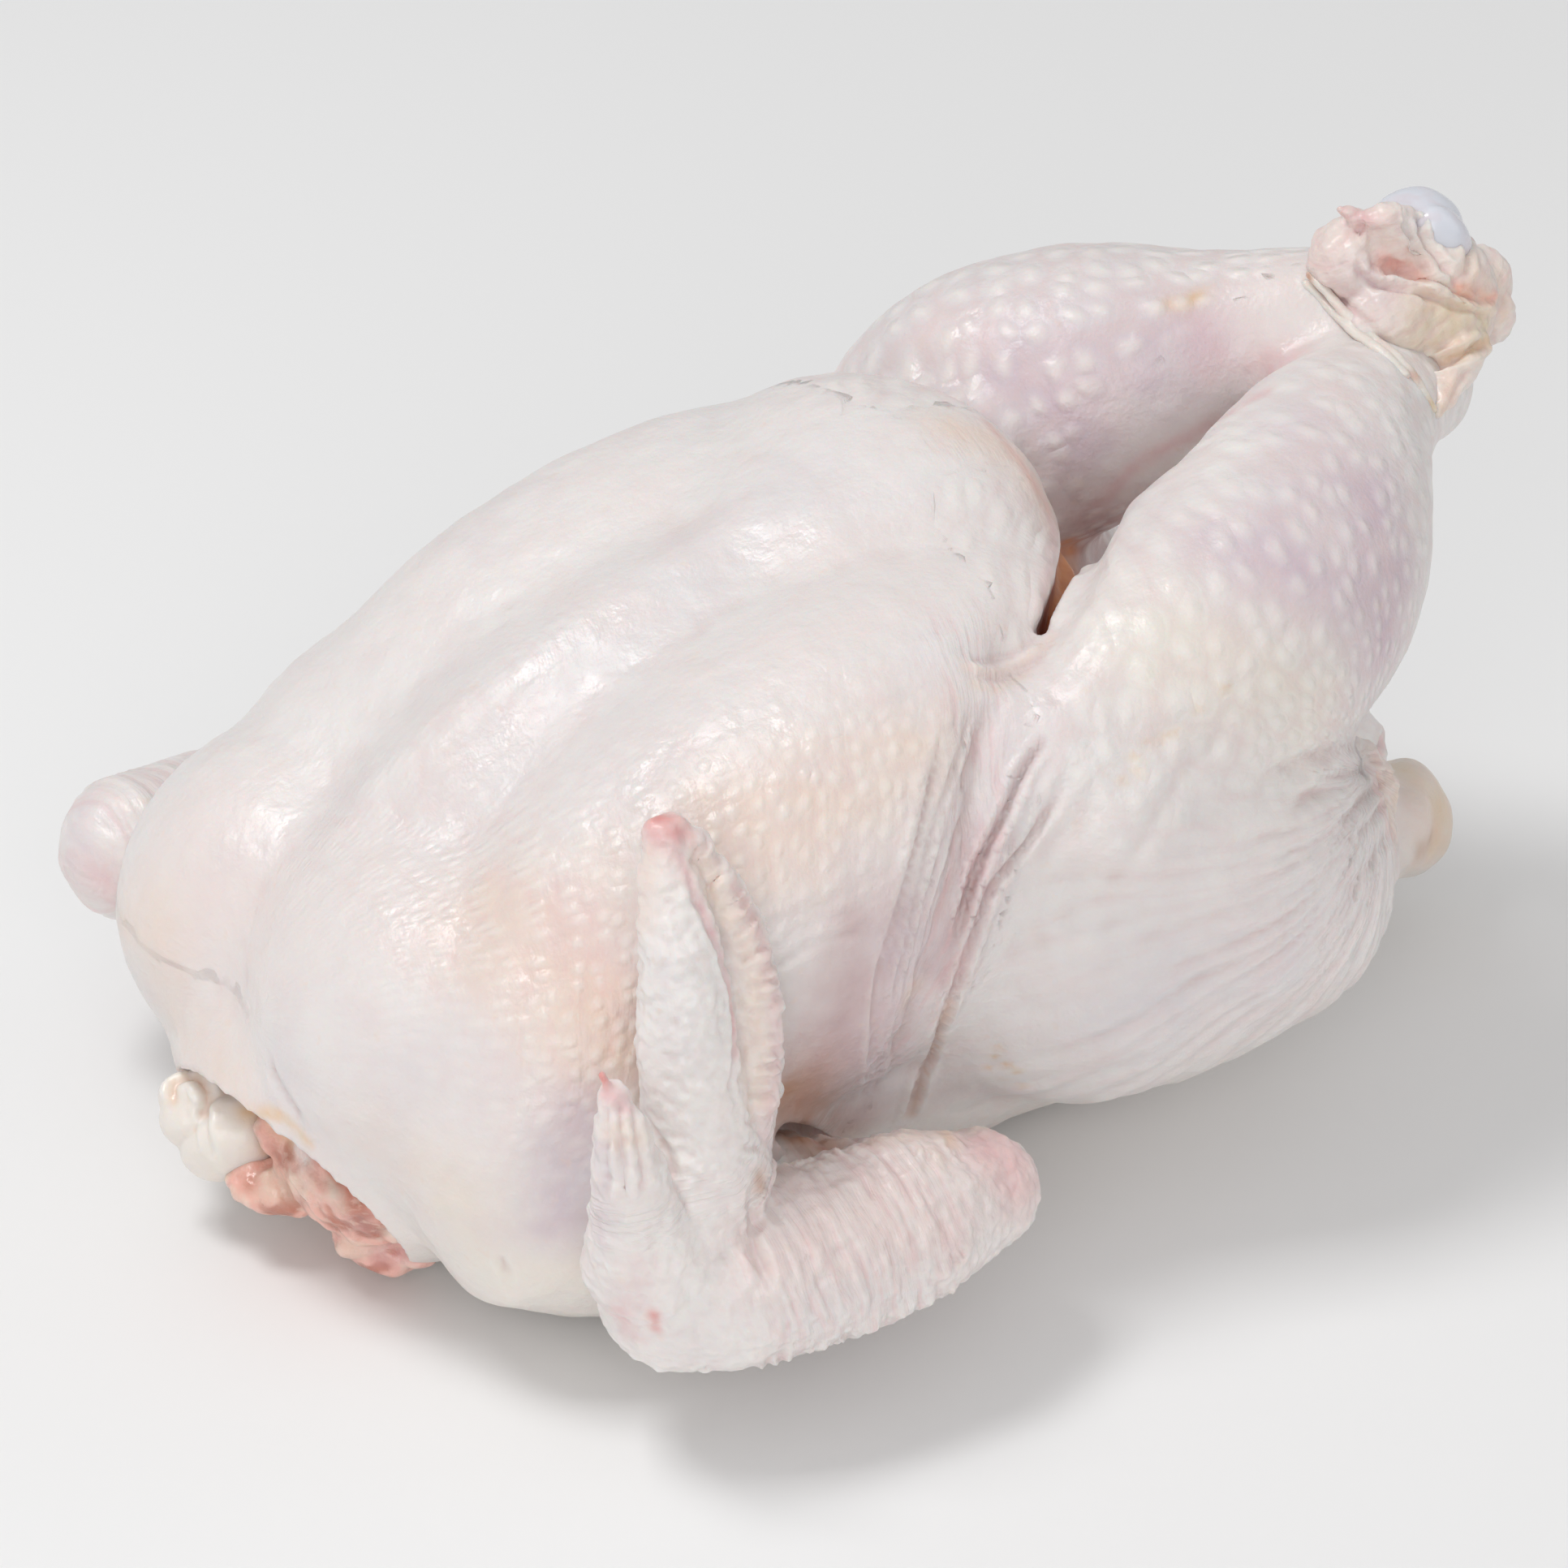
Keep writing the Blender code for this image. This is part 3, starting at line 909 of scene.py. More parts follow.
@dataclass(frozen=True)
class SkinFinish:
    """Pale raw skin: moist, a little see-through, with feather sockets and fine wrinkles."""

    name: str = "skin"
    socket_pitch: float = 0.0030
    socket_height: float = 0.00036
    wrinkle_width: float = 0.0015
    wrinkle_length: float = 0.011
    wrinkle_height: float = 0.00055
    pore_height: float = 0.00013
    wave_height: float = 0.00034
    wobble_scale: float = 70.0
    wobble: Point = (0.003, 0.003, 0.0)
    mottles: tuple[Mottle, ...] = (
        Mottle(85.0, 4.0, 0.38, 0.72, 0.25, Tone.ROSE.value),
        Mottle(42.0, 3.0, 0.50, 0.80, 0.26, Tone.SLATE.value),
        Mottle(330.0, 2.0, 0.66, 0.76, 0.22, Tone.PEACH.value),
    )
    # Darker skin between the sockets: partly mottle, partly painted shade. Paler raised sockets: partly their
    # own colour, partly painted light.
    between_sockets: Colour = (0.70, 0.54, 0.53)
    on_sockets: Colour = (0.88, 0.83, 0.79)

    def make(self) -> bpy.types.Material:
        """Builds the material.

        Returns:
            The material.
        """
        sheet = Sheet(self.name)
        flow = self.wavy_flow(sheet)
        sockets = sheet.attribute("sockets", "Fac")
        wrinkles = sheet.attribute("wrinkles", "Fac")
        away = sheet.cells(flow, self.socket_pitch, 0.65)
        dot = sheet.step(away, 0.46, 0.04)
        fineness = (1 / self.wrinkle_width, 1 / self.wrinkle_length, 0.0)
        lines = sheet.noise(sheet.stretch(flow, fineness), 1.0, 3.0)
        raised = sheet.times(dot, sockets, self.socket_height)
        creases = sheet.times(lines, wrinkles, self.wrinkle_height)
        pores = sheet.bumps(900.0, 2.0, self.pore_height)
        waves = sheet.bumps(260.0, 3.0, self.wave_height)
        sheet.relief(sheet.total(raised, creases, pores, waves))
        tone = sheet.attribute("tone", "Color")
        for mottle in self.mottles:
            tone = mottle.lay(sheet, tone)
        # Painted shade: the wrinkles' valleys are tinted a darker pink.
        valley_shade = sheet.times(sheet.step(lines, 0.52, 0.34), wrinkles, 0.30)
        tone = sheet.blend(valley_shade, tone, Tone.BLUSH.value)
        # Darker between the sockets, partly painted shade, and paler on them, partly painted light.
        between = sheet.times(sheet.step(away, 0.40, 0.66), sockets, 0.30)
        tone = sheet.blend(between, tone, self.between_sockets)
        tone = sheet.blend(sheet.times(dot, sockets, 0.55), tone, self.on_sockets)
        sheet.feed(sheet.shader.inputs["Base Color"], tone)
        film = sheet.step(sheet.noise(sheet.place, 190.0, 2.0), 0.30, 0.75)
        sheet.feed(sheet.shader.inputs["Roughness"], sheet.total(sheet.times(film, 0.22), 0.31))
        sheet.flesh(0.0028, 0.32, (1.0, 0.42, 0.28))
        sheet.wet(0.06, 0.15, 0.55)
        return sheet.material

    def wavy_flow(self, sheet: Sheet) -> bpy.types.NodeSocket:
        """Places across and along the wrinkles, made a little wavy.

        Args:
            sheet: The material.

        Returns:
            The places.
        """
        wobble = sheet.node("ShaderNodeTexNoise")
        sheet.feed(wobble.inputs["Vector"], sheet.place)
        wobble.inputs["Scale"].default_value = self.wobble_scale
        wavy = sheet.node("ShaderNodeVectorMath", operation="ADD")
        sheet.feed(wavy.inputs[0], sheet.attribute("flow", "Vector"))
        sheet.feed(wavy.inputs[1], sheet.stretch(wobble.outputs["Color"], self.wobble))
        return wavy.outputs[0]


@dataclass(frozen=True)
class FleshFinish:
    """Wet raw meat with pale strands through it."""

    name: str = "flesh"
    clots: Mottle = Mottle(210.0, 4.0, 0.50, 0.72, 0.30, (0.42, 0.10, 0.07))
    strand_stretch: Point = (1.0, 1.0, 2.2)
    strand_colour: Colour = (0.80, 0.58, 0.48)

    def make(self) -> bpy.types.Material:
        """Builds the material.

        Returns:
            The material.
        """
        sheet = Sheet(self.name)
        tone = self.clots.lay(sheet, sheet.attribute("tone", "Color"))
        strands = sheet.noise(sheet.stretch(sheet.place, self.strand_stretch), 330.0, 3.0)
        tone = sheet.blend(sheet.times(sheet.step(strands, 0.56, 0.70), 0.50), tone, self.strand_colour)
        sheet.feed(sheet.shader.inputs["Base Color"], tone)
        sheet.gloss(300.0, 0.35, 0.15)
        sheet.relief(sheet.bumps(520.0, 4.0, 0.0005))
        sheet.flesh(0.003, 0.35, (1.0, 0.3, 0.2))
        sheet.wet(0.45, 0.10)
        return sheet.material


@dataclass(frozen=True)
class FatFinish:
    """Soft pale fat."""

    name: str = "fat"
    stains: Mottle = Mottle(160.0, 3.0, 0.45, 0.75, 0.15, (0.84, 0.70, 0.56))

    def make(self) -> bpy.types.Material:
        """Builds the material.

        Returns:
            The material.
        """
        sheet = Sheet(self.name)
        tone = self.stains.lay(sheet, sheet.attribute("tone", "Color"))
        sheet.feed(sheet.shader.inputs["Base Color"], tone)
        sheet.gloss(240.0, 0.25, 0.22)
        sheet.relief(sheet.bumps(420.0, 3.0, 0.00028))
        sheet.flesh(0.004, 0.5, (1.0, 0.7, 0.45))
        sheet.wet(0.30, 0.14)
        return sheet.material


@dataclass(frozen=True)
class GristleFinish:
    """Smooth, glossy gristle, bluish white."""

    name: str = "gristle"
    bluish: Colour = (0.74, 0.76, 0.83)
    pinkish: Colour = (0.74, 0.68, 0.73)

    def make(self) -> bpy.types.Material:
        """Builds the material.

        Returns:
            The material.
        """
        sheet = Sheet(self.name)
        patch = sheet.step(sheet.noise(sheet.place, 180.0, 2.0), 0.42, 0.70)
        sheet.feed(sheet.shader.inputs["Base Color"], sheet.blend(patch, self.bluish, self.pinkish))
        sheet.gloss(260.0, 0.16, 0.16)
        sheet.relief(sheet.bumps(300.0, 2.0, 0.00012))
        sheet.flesh(0.003, 0.5, (0.9, 0.95, 1.0))
        sheet.wet(0.5, 0.08)
        return sheet.material


def finish_piece(clay: Clay, material: bpy.types.Material, node: str) -> None:
    """Gives a piece its material, puts it in place, hides the solid that it stands for, and logs its size in
    triangles.

    Args:
        clay: The finished piece.
        material: Its material.
        node: The solid that it stands for.
    """
    obj = clay.obj
    obj.data.materials.clear()
    obj.data.materials.append(material)
    obj.data.transform(Matrix.Translation(SHIFT))
    select_only(obj)
    bpy.ops.object.shade_smooth()
    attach(obj, BODY)
    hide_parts(node)
    obj.data.calc_loop_triangles()
    log.info("%s: %d triangles", obj.name, len(obj.data.loop_triangles))


@dataclass(frozen=True)
class Fold:
    """A groove in the skin, or a ridge where the depth is negative. Width and depth are in millimetres."""

    spots: tuple[Spot, ...]
    width: float
    depth: float
    lips: float = 0.35

    def work(self, clay: Clay) -> None:
        """Presses the fold into the clay."""
        clay.press(self.spots, self.width * MILLIMETRE, self.depth * MILLIMETRE, self.lips)


@dataclass(frozen=True)
class Patch:
    """A stretch of skin of another colour. The width is in millimetres."""

    spots: tuple[Spot, ...]
    width: float
    tone: Tone
    strength: float

    def work(self, clay: Clay) -> None:
        """Colours the clay."""
        clay.tint(self.spots, self.width * MILLIMETRE, self.tone, self.strength)


@dataclass(frozen=True)
class Pleats:
    """A field of fine pleats between two routes. Width and depth are in millimetres."""

    first: tuple[Spot, ...]
    last: tuple[Spot, ...]
    count: int
    width: float
    depth: float

    def work(self, clay: Clay) -> None:
        """Presses the pleats into the clay.

        Args:
            clay: The surface.
        """
        first, last = np.array(self.first, float), np.array(self.last, float)
        for i in range(self.count):
            share = i / (self.count - 1)
            uneven = 1 + 0.35 * math.sin(i * 2.4 + 1)
            drift = (last - first) * 0.35 / self.count * np.sin(np.arange(len(first)) * 1.9 + i)[:, None]
            spots = first * (1 - share) + last * share + drift
            route = tuple(map(tuple, spots))
            Fold(route, self.width * uneven, self.depth * (1.6 - uneven * 0.6)).work(clay)


def work_all(clay: Clay, features: tuple[Fold | Pleats | Patch, ...]) -> None:
    """Works folds, pleats or patches into the clay, one after the other."""
    for feature in features:
        feature.work(clay)


@dataclass(frozen=True)
class Cleft:
    """A deep, narrow gap between two parts that touch. Radius and depth are in millimetres."""

    spots: tuple[Spot, ...]
    radius: float
    depth: float
    stations: int = 8
    voxel: float = 0.0007

    def tool(self, rough: Clay) -> bpy.types.Object:
        """The shape that opens the gap.

        Args:
            rough: The surface that the gap is cut into.

        Returns:
            The tool.
        """
        route = rough.lay(self.spots)
        picks = route[np.linspace(0, len(route) - 1, self.stations).astype(int)]
        inward = [-rough.tree.find_nearest(Vector(place))[1] for place in picks]
        taper = 0.35 + 0.65 * np.sin(np.linspace(0.15, math.pi - 0.15, self.stations))
        levels = max(2, math.ceil(self.depth / self.radius) + 1)
        limbs = []
        for level in np.linspace(0, 1, levels):
            depth = float(self.depth * level * MILLIMETRE)
            sunk = [Vector(place) + way * depth for place, way in zip(picks, inward)]
            radii = self.radius * MILLIMETRE * taper * (1 - 0.35 * level)
            limbs.append(Limb(tuple((*place, float(radius)) for place, radius in zip(sunk, radii))))
        return fuse("cleft", limbs, self.voxel, 2)


def mirrored(spots: tuple[Point, ...]) -> tuple[Point, ...]:
    """The same route on the bird's other side."""
    return tuple((x, -y, z) for x, y, z in spots)


@dataclass
class Trunk:
    """Body, legs and tail under one skin, drawn and with the neck cut off."""

    breast_length: float = 0.135
    breast_width: float = 0.132
    keel_tilt: float = -18.0
    thigh: float = 0.030
    calf: float = 0.0245
    shank: float = 0.0120
    cavity_radius: float = 0.024
    mass_voxel: float = 0.0026
    skin_voxel: float = 0.00098
    gap_voxel: float = 0.0008
    gap_levels: tuple[int, int] = (-3, 6)
    gap_way: Vector = field(default_factory=lambda: Vector((0.0003, 0.0006, -0.0024)))
    thigh_pole: Point = (0.154, -0.056, 0.078)
    ripples: int = 17
    ripple_length: float = 0.014
    ripple_height: float = 0.00085

    def torso(self) -> list[Mass | Limb]:
        """Back, rib cage, breast muscles and the skin of the neck end.

        Returns:
            The masses.
        """
        masses = [
            Mass((0.092, 0.000, 0.048), (0.086, 0.050, 0.044)),
            Mass((0.146, 0.000, 0.046), (0.044, 0.038, 0.033)),
            Mass((0.013, 0.008, 0.035), (0.036, 0.044, 0.029), (0, 0, -18)),
            Mass((0.064, 0.003, 0.076), (0.068, 0.037, 0.037), (0, -17, 0)),
            Mass((0.023, -0.006, 0.052), (0.040, 0.048, 0.034), (0, 0, -16)),
            Mass((0.093, 0.006, 0.085), (0.040, 0.044, 0.038), (0, -10, 0)),
            Mass((0.014, 0.030, 0.052), (0.037, 0.032, 0.031)),
            Mass((0.034, 0.032, 0.066), (0.040, 0.033, 0.0285), (0, -20, 0)),
            Mass((0.027, -0.037, 0.048), (0.036, 0.028, 0.037)),
            Mass((0.101, 0.010, 0.107), (0.0265, 0.035, 0.0195), (0, -6, 0)),
        ]
        lobe = 0.038
        for side in Side:
            centre = (0.068, (self.breast_width / 2 - lobe) * side.value, 0.077)
            turn = (0, self.keel_tilt, -4 * side.value)
            masses.append(Mass(centre, (self.breast_length / 2, lobe, 0.037), turn))
        return masses

    def right_leg(self) -> list[Mass | Limb]:
        """Thigh, drumstick and the skin over the flank on the bird's right.

        Returns:
            The masses.
        """
        thigh = (
            (0.147, -0.028, 0.050, self.thigh - 0.005),
            (0.138, -0.038, 0.057, self.thigh - 0.001),
            (0.123, -0.044, 0.071, self.thigh - 0.001),
            (0.107, -0.045, 0.085, self.thigh - 0.005),
        )
        drumstick = (
            (0.103, -0.044, 0.089, self.calf - 0.0015),
            (0.125, -0.042, 0.097, self.calf),
            (0.149, -0.033, 0.104, self.calf),
            (0.171, -0.017, 0.114, self.calf - 0.0075),
            (0.184, -0.009, 0.115, self.shank),
            (0.195, -0.003, 0.113, self.shank - 0.0015),
        )
        flank = Mass((0.114, -0.040, 0.063), (0.048, 0.029, 0.038), (0, 10, -4))
        return [Limb(thigh), Limb(drumstick), flank]

    def left_leg(self) -> list[Mass | Limb]:
        """Thigh, drumstick and flank on the bird's left, whose hock lies over the other.

        Returns:
            The masses.
        """
        thigh = (
            (0.154, 0.028, 0.046, self.thigh - 0.004),
            (0.146, 0.038, 0.052, self.thigh),
            (0.134, 0.044, 0.068, self.thigh - 0.002),
            (0.124, 0.044, 0.084, self.thigh - 0.008),
        )
        drumstick = (
            (0.124, 0.043, 0.088, self.calf - 0.0045),
            (0.136, 0.039, 0.1010, self.calf - 0.0005),
            (0.148, 0.032, 0.1072, self.calf),
            (0.159, 0.025, 0.1124, self.calf - 0.0028),
            (0.170, 0.018, 0.1170, self.calf - 0.0080),
            (0.181, 0.010, 0.1218, self.shank + 0.0010),
            (0.193, 0.003, 0.126, self.shank - 0.001),
        )
        flank = Mass((0.118, 0.040, 0.063), (0.045, 0.029, 0.038), (0, 10, 4))
        return [Limb(thigh), Limb(drumstick), flank]

    def tail(self) -> Limb:
        """The fleshy stub of the tail, a little flattened."""
        stations = ((0.164, 0.0, 0.040, 0.0270), (0.184, 0.0, 0.032, 0.0200), (0.199, 0.0, 0.026, 0.0120))
        return Limb(stations, 0.65)

    def hollow(self) -> bpy.types.Object:
        """The drawn bird's hollow, which opens between the breast, the thighs and the tail.

        Returns:
            The shape to cut away.
        """
        radius = self.cavity_radius
        stations = (
            (0.100, 0.0, 0.056, radius),
            (0.128, 0.0, 0.062, radius - 0.002),
            (0.154, 0.0, 0.070, radius - 0.004),
            (0.190, 0.0, 0.080, radius - 0.006),
        )
        chest = Mass((0.076, 0.0, 0.052), (0.046, 0.031, 0.027), (0, -4, 0))
        return fuse("hollow", [chest, Limb(stations)], self.mass_voxel, 3)

    def hind_gap(self) -> bpy.types.Object:
        """The gap behind the breast's hind edge, which runs down between it and the legs.

        Returns:
            The shape to cut away.
        """
        rim = [Vector(station[:3]) for station in HIND_EDGE]
        radii = [station[3] for station in HIND_EDGE]
        limbs = []
        for level in range(*self.gap_levels):
            stations = []
            for i, (place, radius) in enumerate(zip(rim, radii)):
                along = rim[min(i + 1, len(rim) - 1)] - rim[max(i - 1, 0)]
                away = along.cross(Vector((0, 0, 1))).normalized()
                centre = place + away * radius * 1.05 + self.gap_way * level
                stations.append((*centre, radius))
            limbs.append(Limb(tuple(stations)))
        return fuse("gap", limbs, self.gap_voxel, 2)

    def neck_scoop(self) -> bpy.types.Object:
        """What is cut from the neck end, under the edge of the breast's skin."""
        return Mass((-0.021, -0.006, 0.014), (0.023, 0.037, 0.029)).add()[0]

    def main_folds(self, clay: Clay) -> None:
        """Works in the ridge of the keel, the groins and the large folds of the flanks.

        Args:
            clay: The surface.
        """
        keel = ((0.001, 0.008, 0.076), (0.019, 0.002, 0.096), (0.055, 0.002, 0.113), (0.080, 0.003, 0.118))
        Fold(keel, 6.0, -1.4, 0.0).work(clay)
        right_groin = ((0.132, -0.012, 0.106), (0.112, -0.034, 0.112), (0.088, -0.049, 0.111))
        Fold(right_groin, 5.0, 4.0, 0.0).work(clay)
        right_fold = (
            (0.088, -0.050, 0.111),
            (0.075, -0.064, 0.088),
            (0.069, -0.064, 0.068),
            (0.066, -0.058, 0.046),
        )
        Fold(right_fold, 4.5, 3.0, 0.0).work(clay)
        left_fold = (
            (0.128, 0.020, 0.108),
            (0.112, 0.040, 0.112),
            (0.092, 0.054, 0.100),
            (0.080, 0.056, 0.060),
        )
        Fold(left_fold, 6.0, 3.5, 0.0).work(clay)
        rump = ((0.168, 0.038, 0.082), (0.182, 0.024, 0.056), (0.182, 0.014, 0.034))
        for route in (rump, mirrored(rump)):
            Fold(route, 5.0, 3.5, 0.0).work(clay)

    def build(self) -> Clay:
        """Models the trunk.

        Returns:
            Its surface, sculpted and coloured.
        """
        masses = [*self.torso(), *self.right_leg(), *self.left_leg(), self.tail()]
        obj = fuse("carcass_skin", masses, self.mass_voxel, 8)
        rough = Clay(obj)
        self.main_folds(rough)
        rough.write()
        inside = Clay(self.hollow())
        clefts = [cleft.tool(rough) for cleft in CLEFTS]
        gap = Clay(self.hind_gap())
        carve(obj, [inside.obj, gap.obj, self.neck_scoop(), *clefts])
        remesh(obj, self.skin_voxel, 4)
        clay = Clay(obj)
        self.sculpt(clay)
        self.colour(clay, inside.tree, gap.tree)
        self.dress(clay)
        return clay

    def sculpt(self, clay: Clay) -> None:
        """Works the folds, ridges and lumps into the skin.

        Args:
            clay: The surface.
        """
        for spots, radius, height in SWELLS:
            clay.swell(spots, radius * MILLIMETRE, height * MILLIMETRE)
        clay.write()
        work_all(clay, NEAR_FOLDS + FAR_FOLDS)
        clay.write()
        clay.mould(0.013, 0.00030, 2)
        clay.mould(0.0040, 0.00022, 3)
        clay.lift(self.thigh_ripples(clay))
        clay.settle()
        clay.write()
        clay.thin()

    def thigh_ripples(self, clay: Clay) -> np.ndarray:
        """Ripples that fan out over the near thigh from a pole beside the tail.

        Args:
            clay: The surface.

        Returns:
            Each point's height in metres.
        """
        away = clay.points - np.array(self.thigh_pole)
        radius = np.linalg.norm(away, axis=1)
        angle = np.arctan2(away[:, 2], -away[:, 0])
        ripples = clay.grain(flow_of(angle * self.ripples, radius / self.ripple_length), 13)
        thigh = fall(away[:, 1], 0.040, 0.060) * rise(clay.points[:, 0], 0.075, 0.095)
        thigh *= rise(radius, 0.004, 0.015)
        return self.ripple_height * ripples * thigh * fall(away[:, 2], 0.0, 0.020)

    def colour(self, clay: Clay, inside: BVHTree, gap: BVHTree) -> None:
        """Colours the skin, and the walls of the hollow and of the gap.

        Args:
            clay: The surface.
            inside: The shape that the hollow was cut with.
            gap: The shape that the gap was cut with.
        """
        points = clay.points
        height = points[:, 2]
        clay.tint_by(0.45 * fall(height, 0.015, 0.045), Tone.FAT)
        work_all(clay, NEAR_PATCHES + FAR_PATCHES)
        # Painted shade: the skin's hollows are tinted a darker reddish brown, and its crests are paled as
        # painted light.
        clay.paint_hollow_shade_and_crest_light(5, 0.00050, Tone.FOLD, 0.45)
        # The gap's wall below the breast's rim is tinted dark red: partly the flesh's own colour, partly
        # painted shade deep in the gap.
        sunk = fall(height, 0.1050, 0.1078) * fall(points[:, 1], 0.0, 0.004)
        clay.tint_by(0.95 * sunk * self.beside(points, gap, 0.0012), Tone.RUST)
        clay.tint_by(0.9 * self.beside(points, inside, 0.0035), Tone.SALMON)
        Patch(((1314, 668), (1314, 700), (1305, 735), (1292, 762)), 2.4, Tone.AMBER, 0.95).work(clay)

    def beside(self, points: np.ndarray, shape: BVHTree, reach: float) -> np.ndarray:
        """How near each point lies to a shape's surface.

        Args:
            points: The points.
            shape: The shape.
            reach: Where the nearness ends.

        Returns:
            1 beside the shape and 0 from its reach on.
        """
        away = [shape.find_nearest(Vector(point), reach)[3] for point in points]
        return 1 - rise(np.array([reach if gap is None else gap for gap in away]), 0.35 * reach, reach)

    def leg_fields(self, clay: Clay) -> dict[Side, tuple[np.ndarray, ...]]:
        """How the skin of each leg runs: round the thigh's pole on the right, along the calf on the left.

        Args:
            clay: The surface.

        Returns:
            For each side, place across and along the wrinkles, the turn round the leg, and how strongly the
            sockets and the wrinkles show.
        """
        x, _, z = clay.points.T
        pole = np.array(self.thigh_pole)
        radius = np.linalg.norm(clay.points - pole, axis=1)
        angle = np.arctan2(z - pole[2], pole[0] - x)
        knee, hock = Vector((0.118, 0.044, 0.086)), Vector((0.190, 0.005, 0.124))
        way = (hock - knee).normalized()
        front = way.cross(Vector((0, 0, 1))).normalized()
        away = clay.points - np.array(knee)
        around = np.arctan2(away @ np.array(way.cross(front)), away @ np.array(front))
        calf = rise(z, 0.080, 0.100)
        puckers = bell(radius, 0.030)
        near_arc, near_fineness = 0.040, 0.70
        far_arc, far_fineness = 0.024, 0.55
        return {
            Side.RIGHT: (
                angle * near_arc * near_fineness,
                radius * near_fineness,
                angle,
                0.20 + 0.55 * calf,
                0.30 - 0.18 * calf + 0.4 * puckers,
            ),
            Side.LEFT: (
                around * far_arc * far_fineness,
                away @ np.array(way) * far_fineness,
                around,
                np.ones_like(x),
                np.full_like(x, 0.10),
            ),
        }

    def dress(self, clay: Clay) -> None:
        """Stores how wrinkles and feather sockets run over the skin.

        Args:
            clay: The surface.
        """
        x, y, z = clay.points.T
        arc = np.arctan2(z - 0.055, -y) * 0.055
        leaned = x - 0.35 * z
        flow = flow_of(leaned, arc)
        shoulder = clay.near(((620, 1120), (700, 1190), (760, 1290)), 0.020)
        flank = clay.near(((860, 1020), (980, 990), (1110, 950)), 0.014)
        creases = rise(leaned, 0.037, 0.044) * fall(leaned, 0.050, 0.056) * rise(-y, 0.030, 0.042)
        edge = clay.near(((1190, 560), (1255, 590), (1285, 640)), 0.007)
        keel = clay.near(KEEL, 0.007)
        sockets = 0.05 + 0.60 * shoulder + 0.6 * flank + 0.15 * keel
        wrinkles = 0.05 + 0.50 * shoulder + 0.3 * flank + 0.95 * creases + 0.6 * edge + 0.35 * keel
        for side, (across, down, turn, dots, lines) in self.leg_fields(clay).items():
            leg = rise(leaned, 0.050, 0.060) * rise(y * side.value, 0.0, 0.016)
            on_leg = leg > 0.5
            flow[on_leg, 0] = across[on_leg]
            flow[on_leg, 1] = down[on_leg]
            seam = rise(np.abs(leg - 0.5), 0.02, 0.4) * rise(math.pi - np.abs(turn), 0.05, 0.35)
            sockets = np.where(on_leg, dots * seam, sockets * rise(0.5 - leg, 0.0, 0.3))
            wrinkles = np.where(on_leg, lines * seam, wrinkles * rise(0.5 - leg, 0.0, 0.3))
        clay.keep_skin(flow, sockets, wrinkles)


KEEL = ((395, 1045), (470, 965), (560, 890), (700, 770))

HIND_EDGE = (
    (0.0995, -0.0405, 0.1095, 0.0009),
    (0.1055, -0.0330, 0.1080, 0.0015),
    (0.1115, -0.0255, 0.1075, 0.0021),
    (0.1175, -0.0175, 0.1090, 0.0027),
    (0.1225, -0.0105, 0.1110, 0.0032),
    (0.1265, -0.0020, 0.1140, 0.0034),
    (0.1275, 0.0060, 0.1165, 0.0030),
)

CLEFTS = (
    Cleft(((1600, 448), (1555, 482), (1515, 508), (1475, 535), (1435, 556)), 0.9, 3.0),
    Cleft(((962, 1396), (990, 1404), (1020, 1412)), 2.4, 6.0),
)

SWELLS = (
    (((1215, 500), (1262, 545), (1290, 610), (1297, 680), (1278, 750)), 3.0, 0.9),
    (((0.040, 0.040, 0.104), (0.070, 0.044, 0.112), (0.098, 0.042, 0.112)), 9.0, 1.3),
    (((1722, 900), (1738, 940), (1742, 1000)), 4.5, 2.4),
    (((1640, 1140), (1560, 1230)), 9.0, 0.6),
    (((640, 1120), (760, 1230)), 9.0, 0.7),
    (((700, 1440), (705, 1500)), 6.0, -1.6),
    (((566, 1572), (600, 1590), (636, 1586)), 6.0, 1.7),
    (((1728, 900), (1742, 950)), 5.0, 0.7),
)

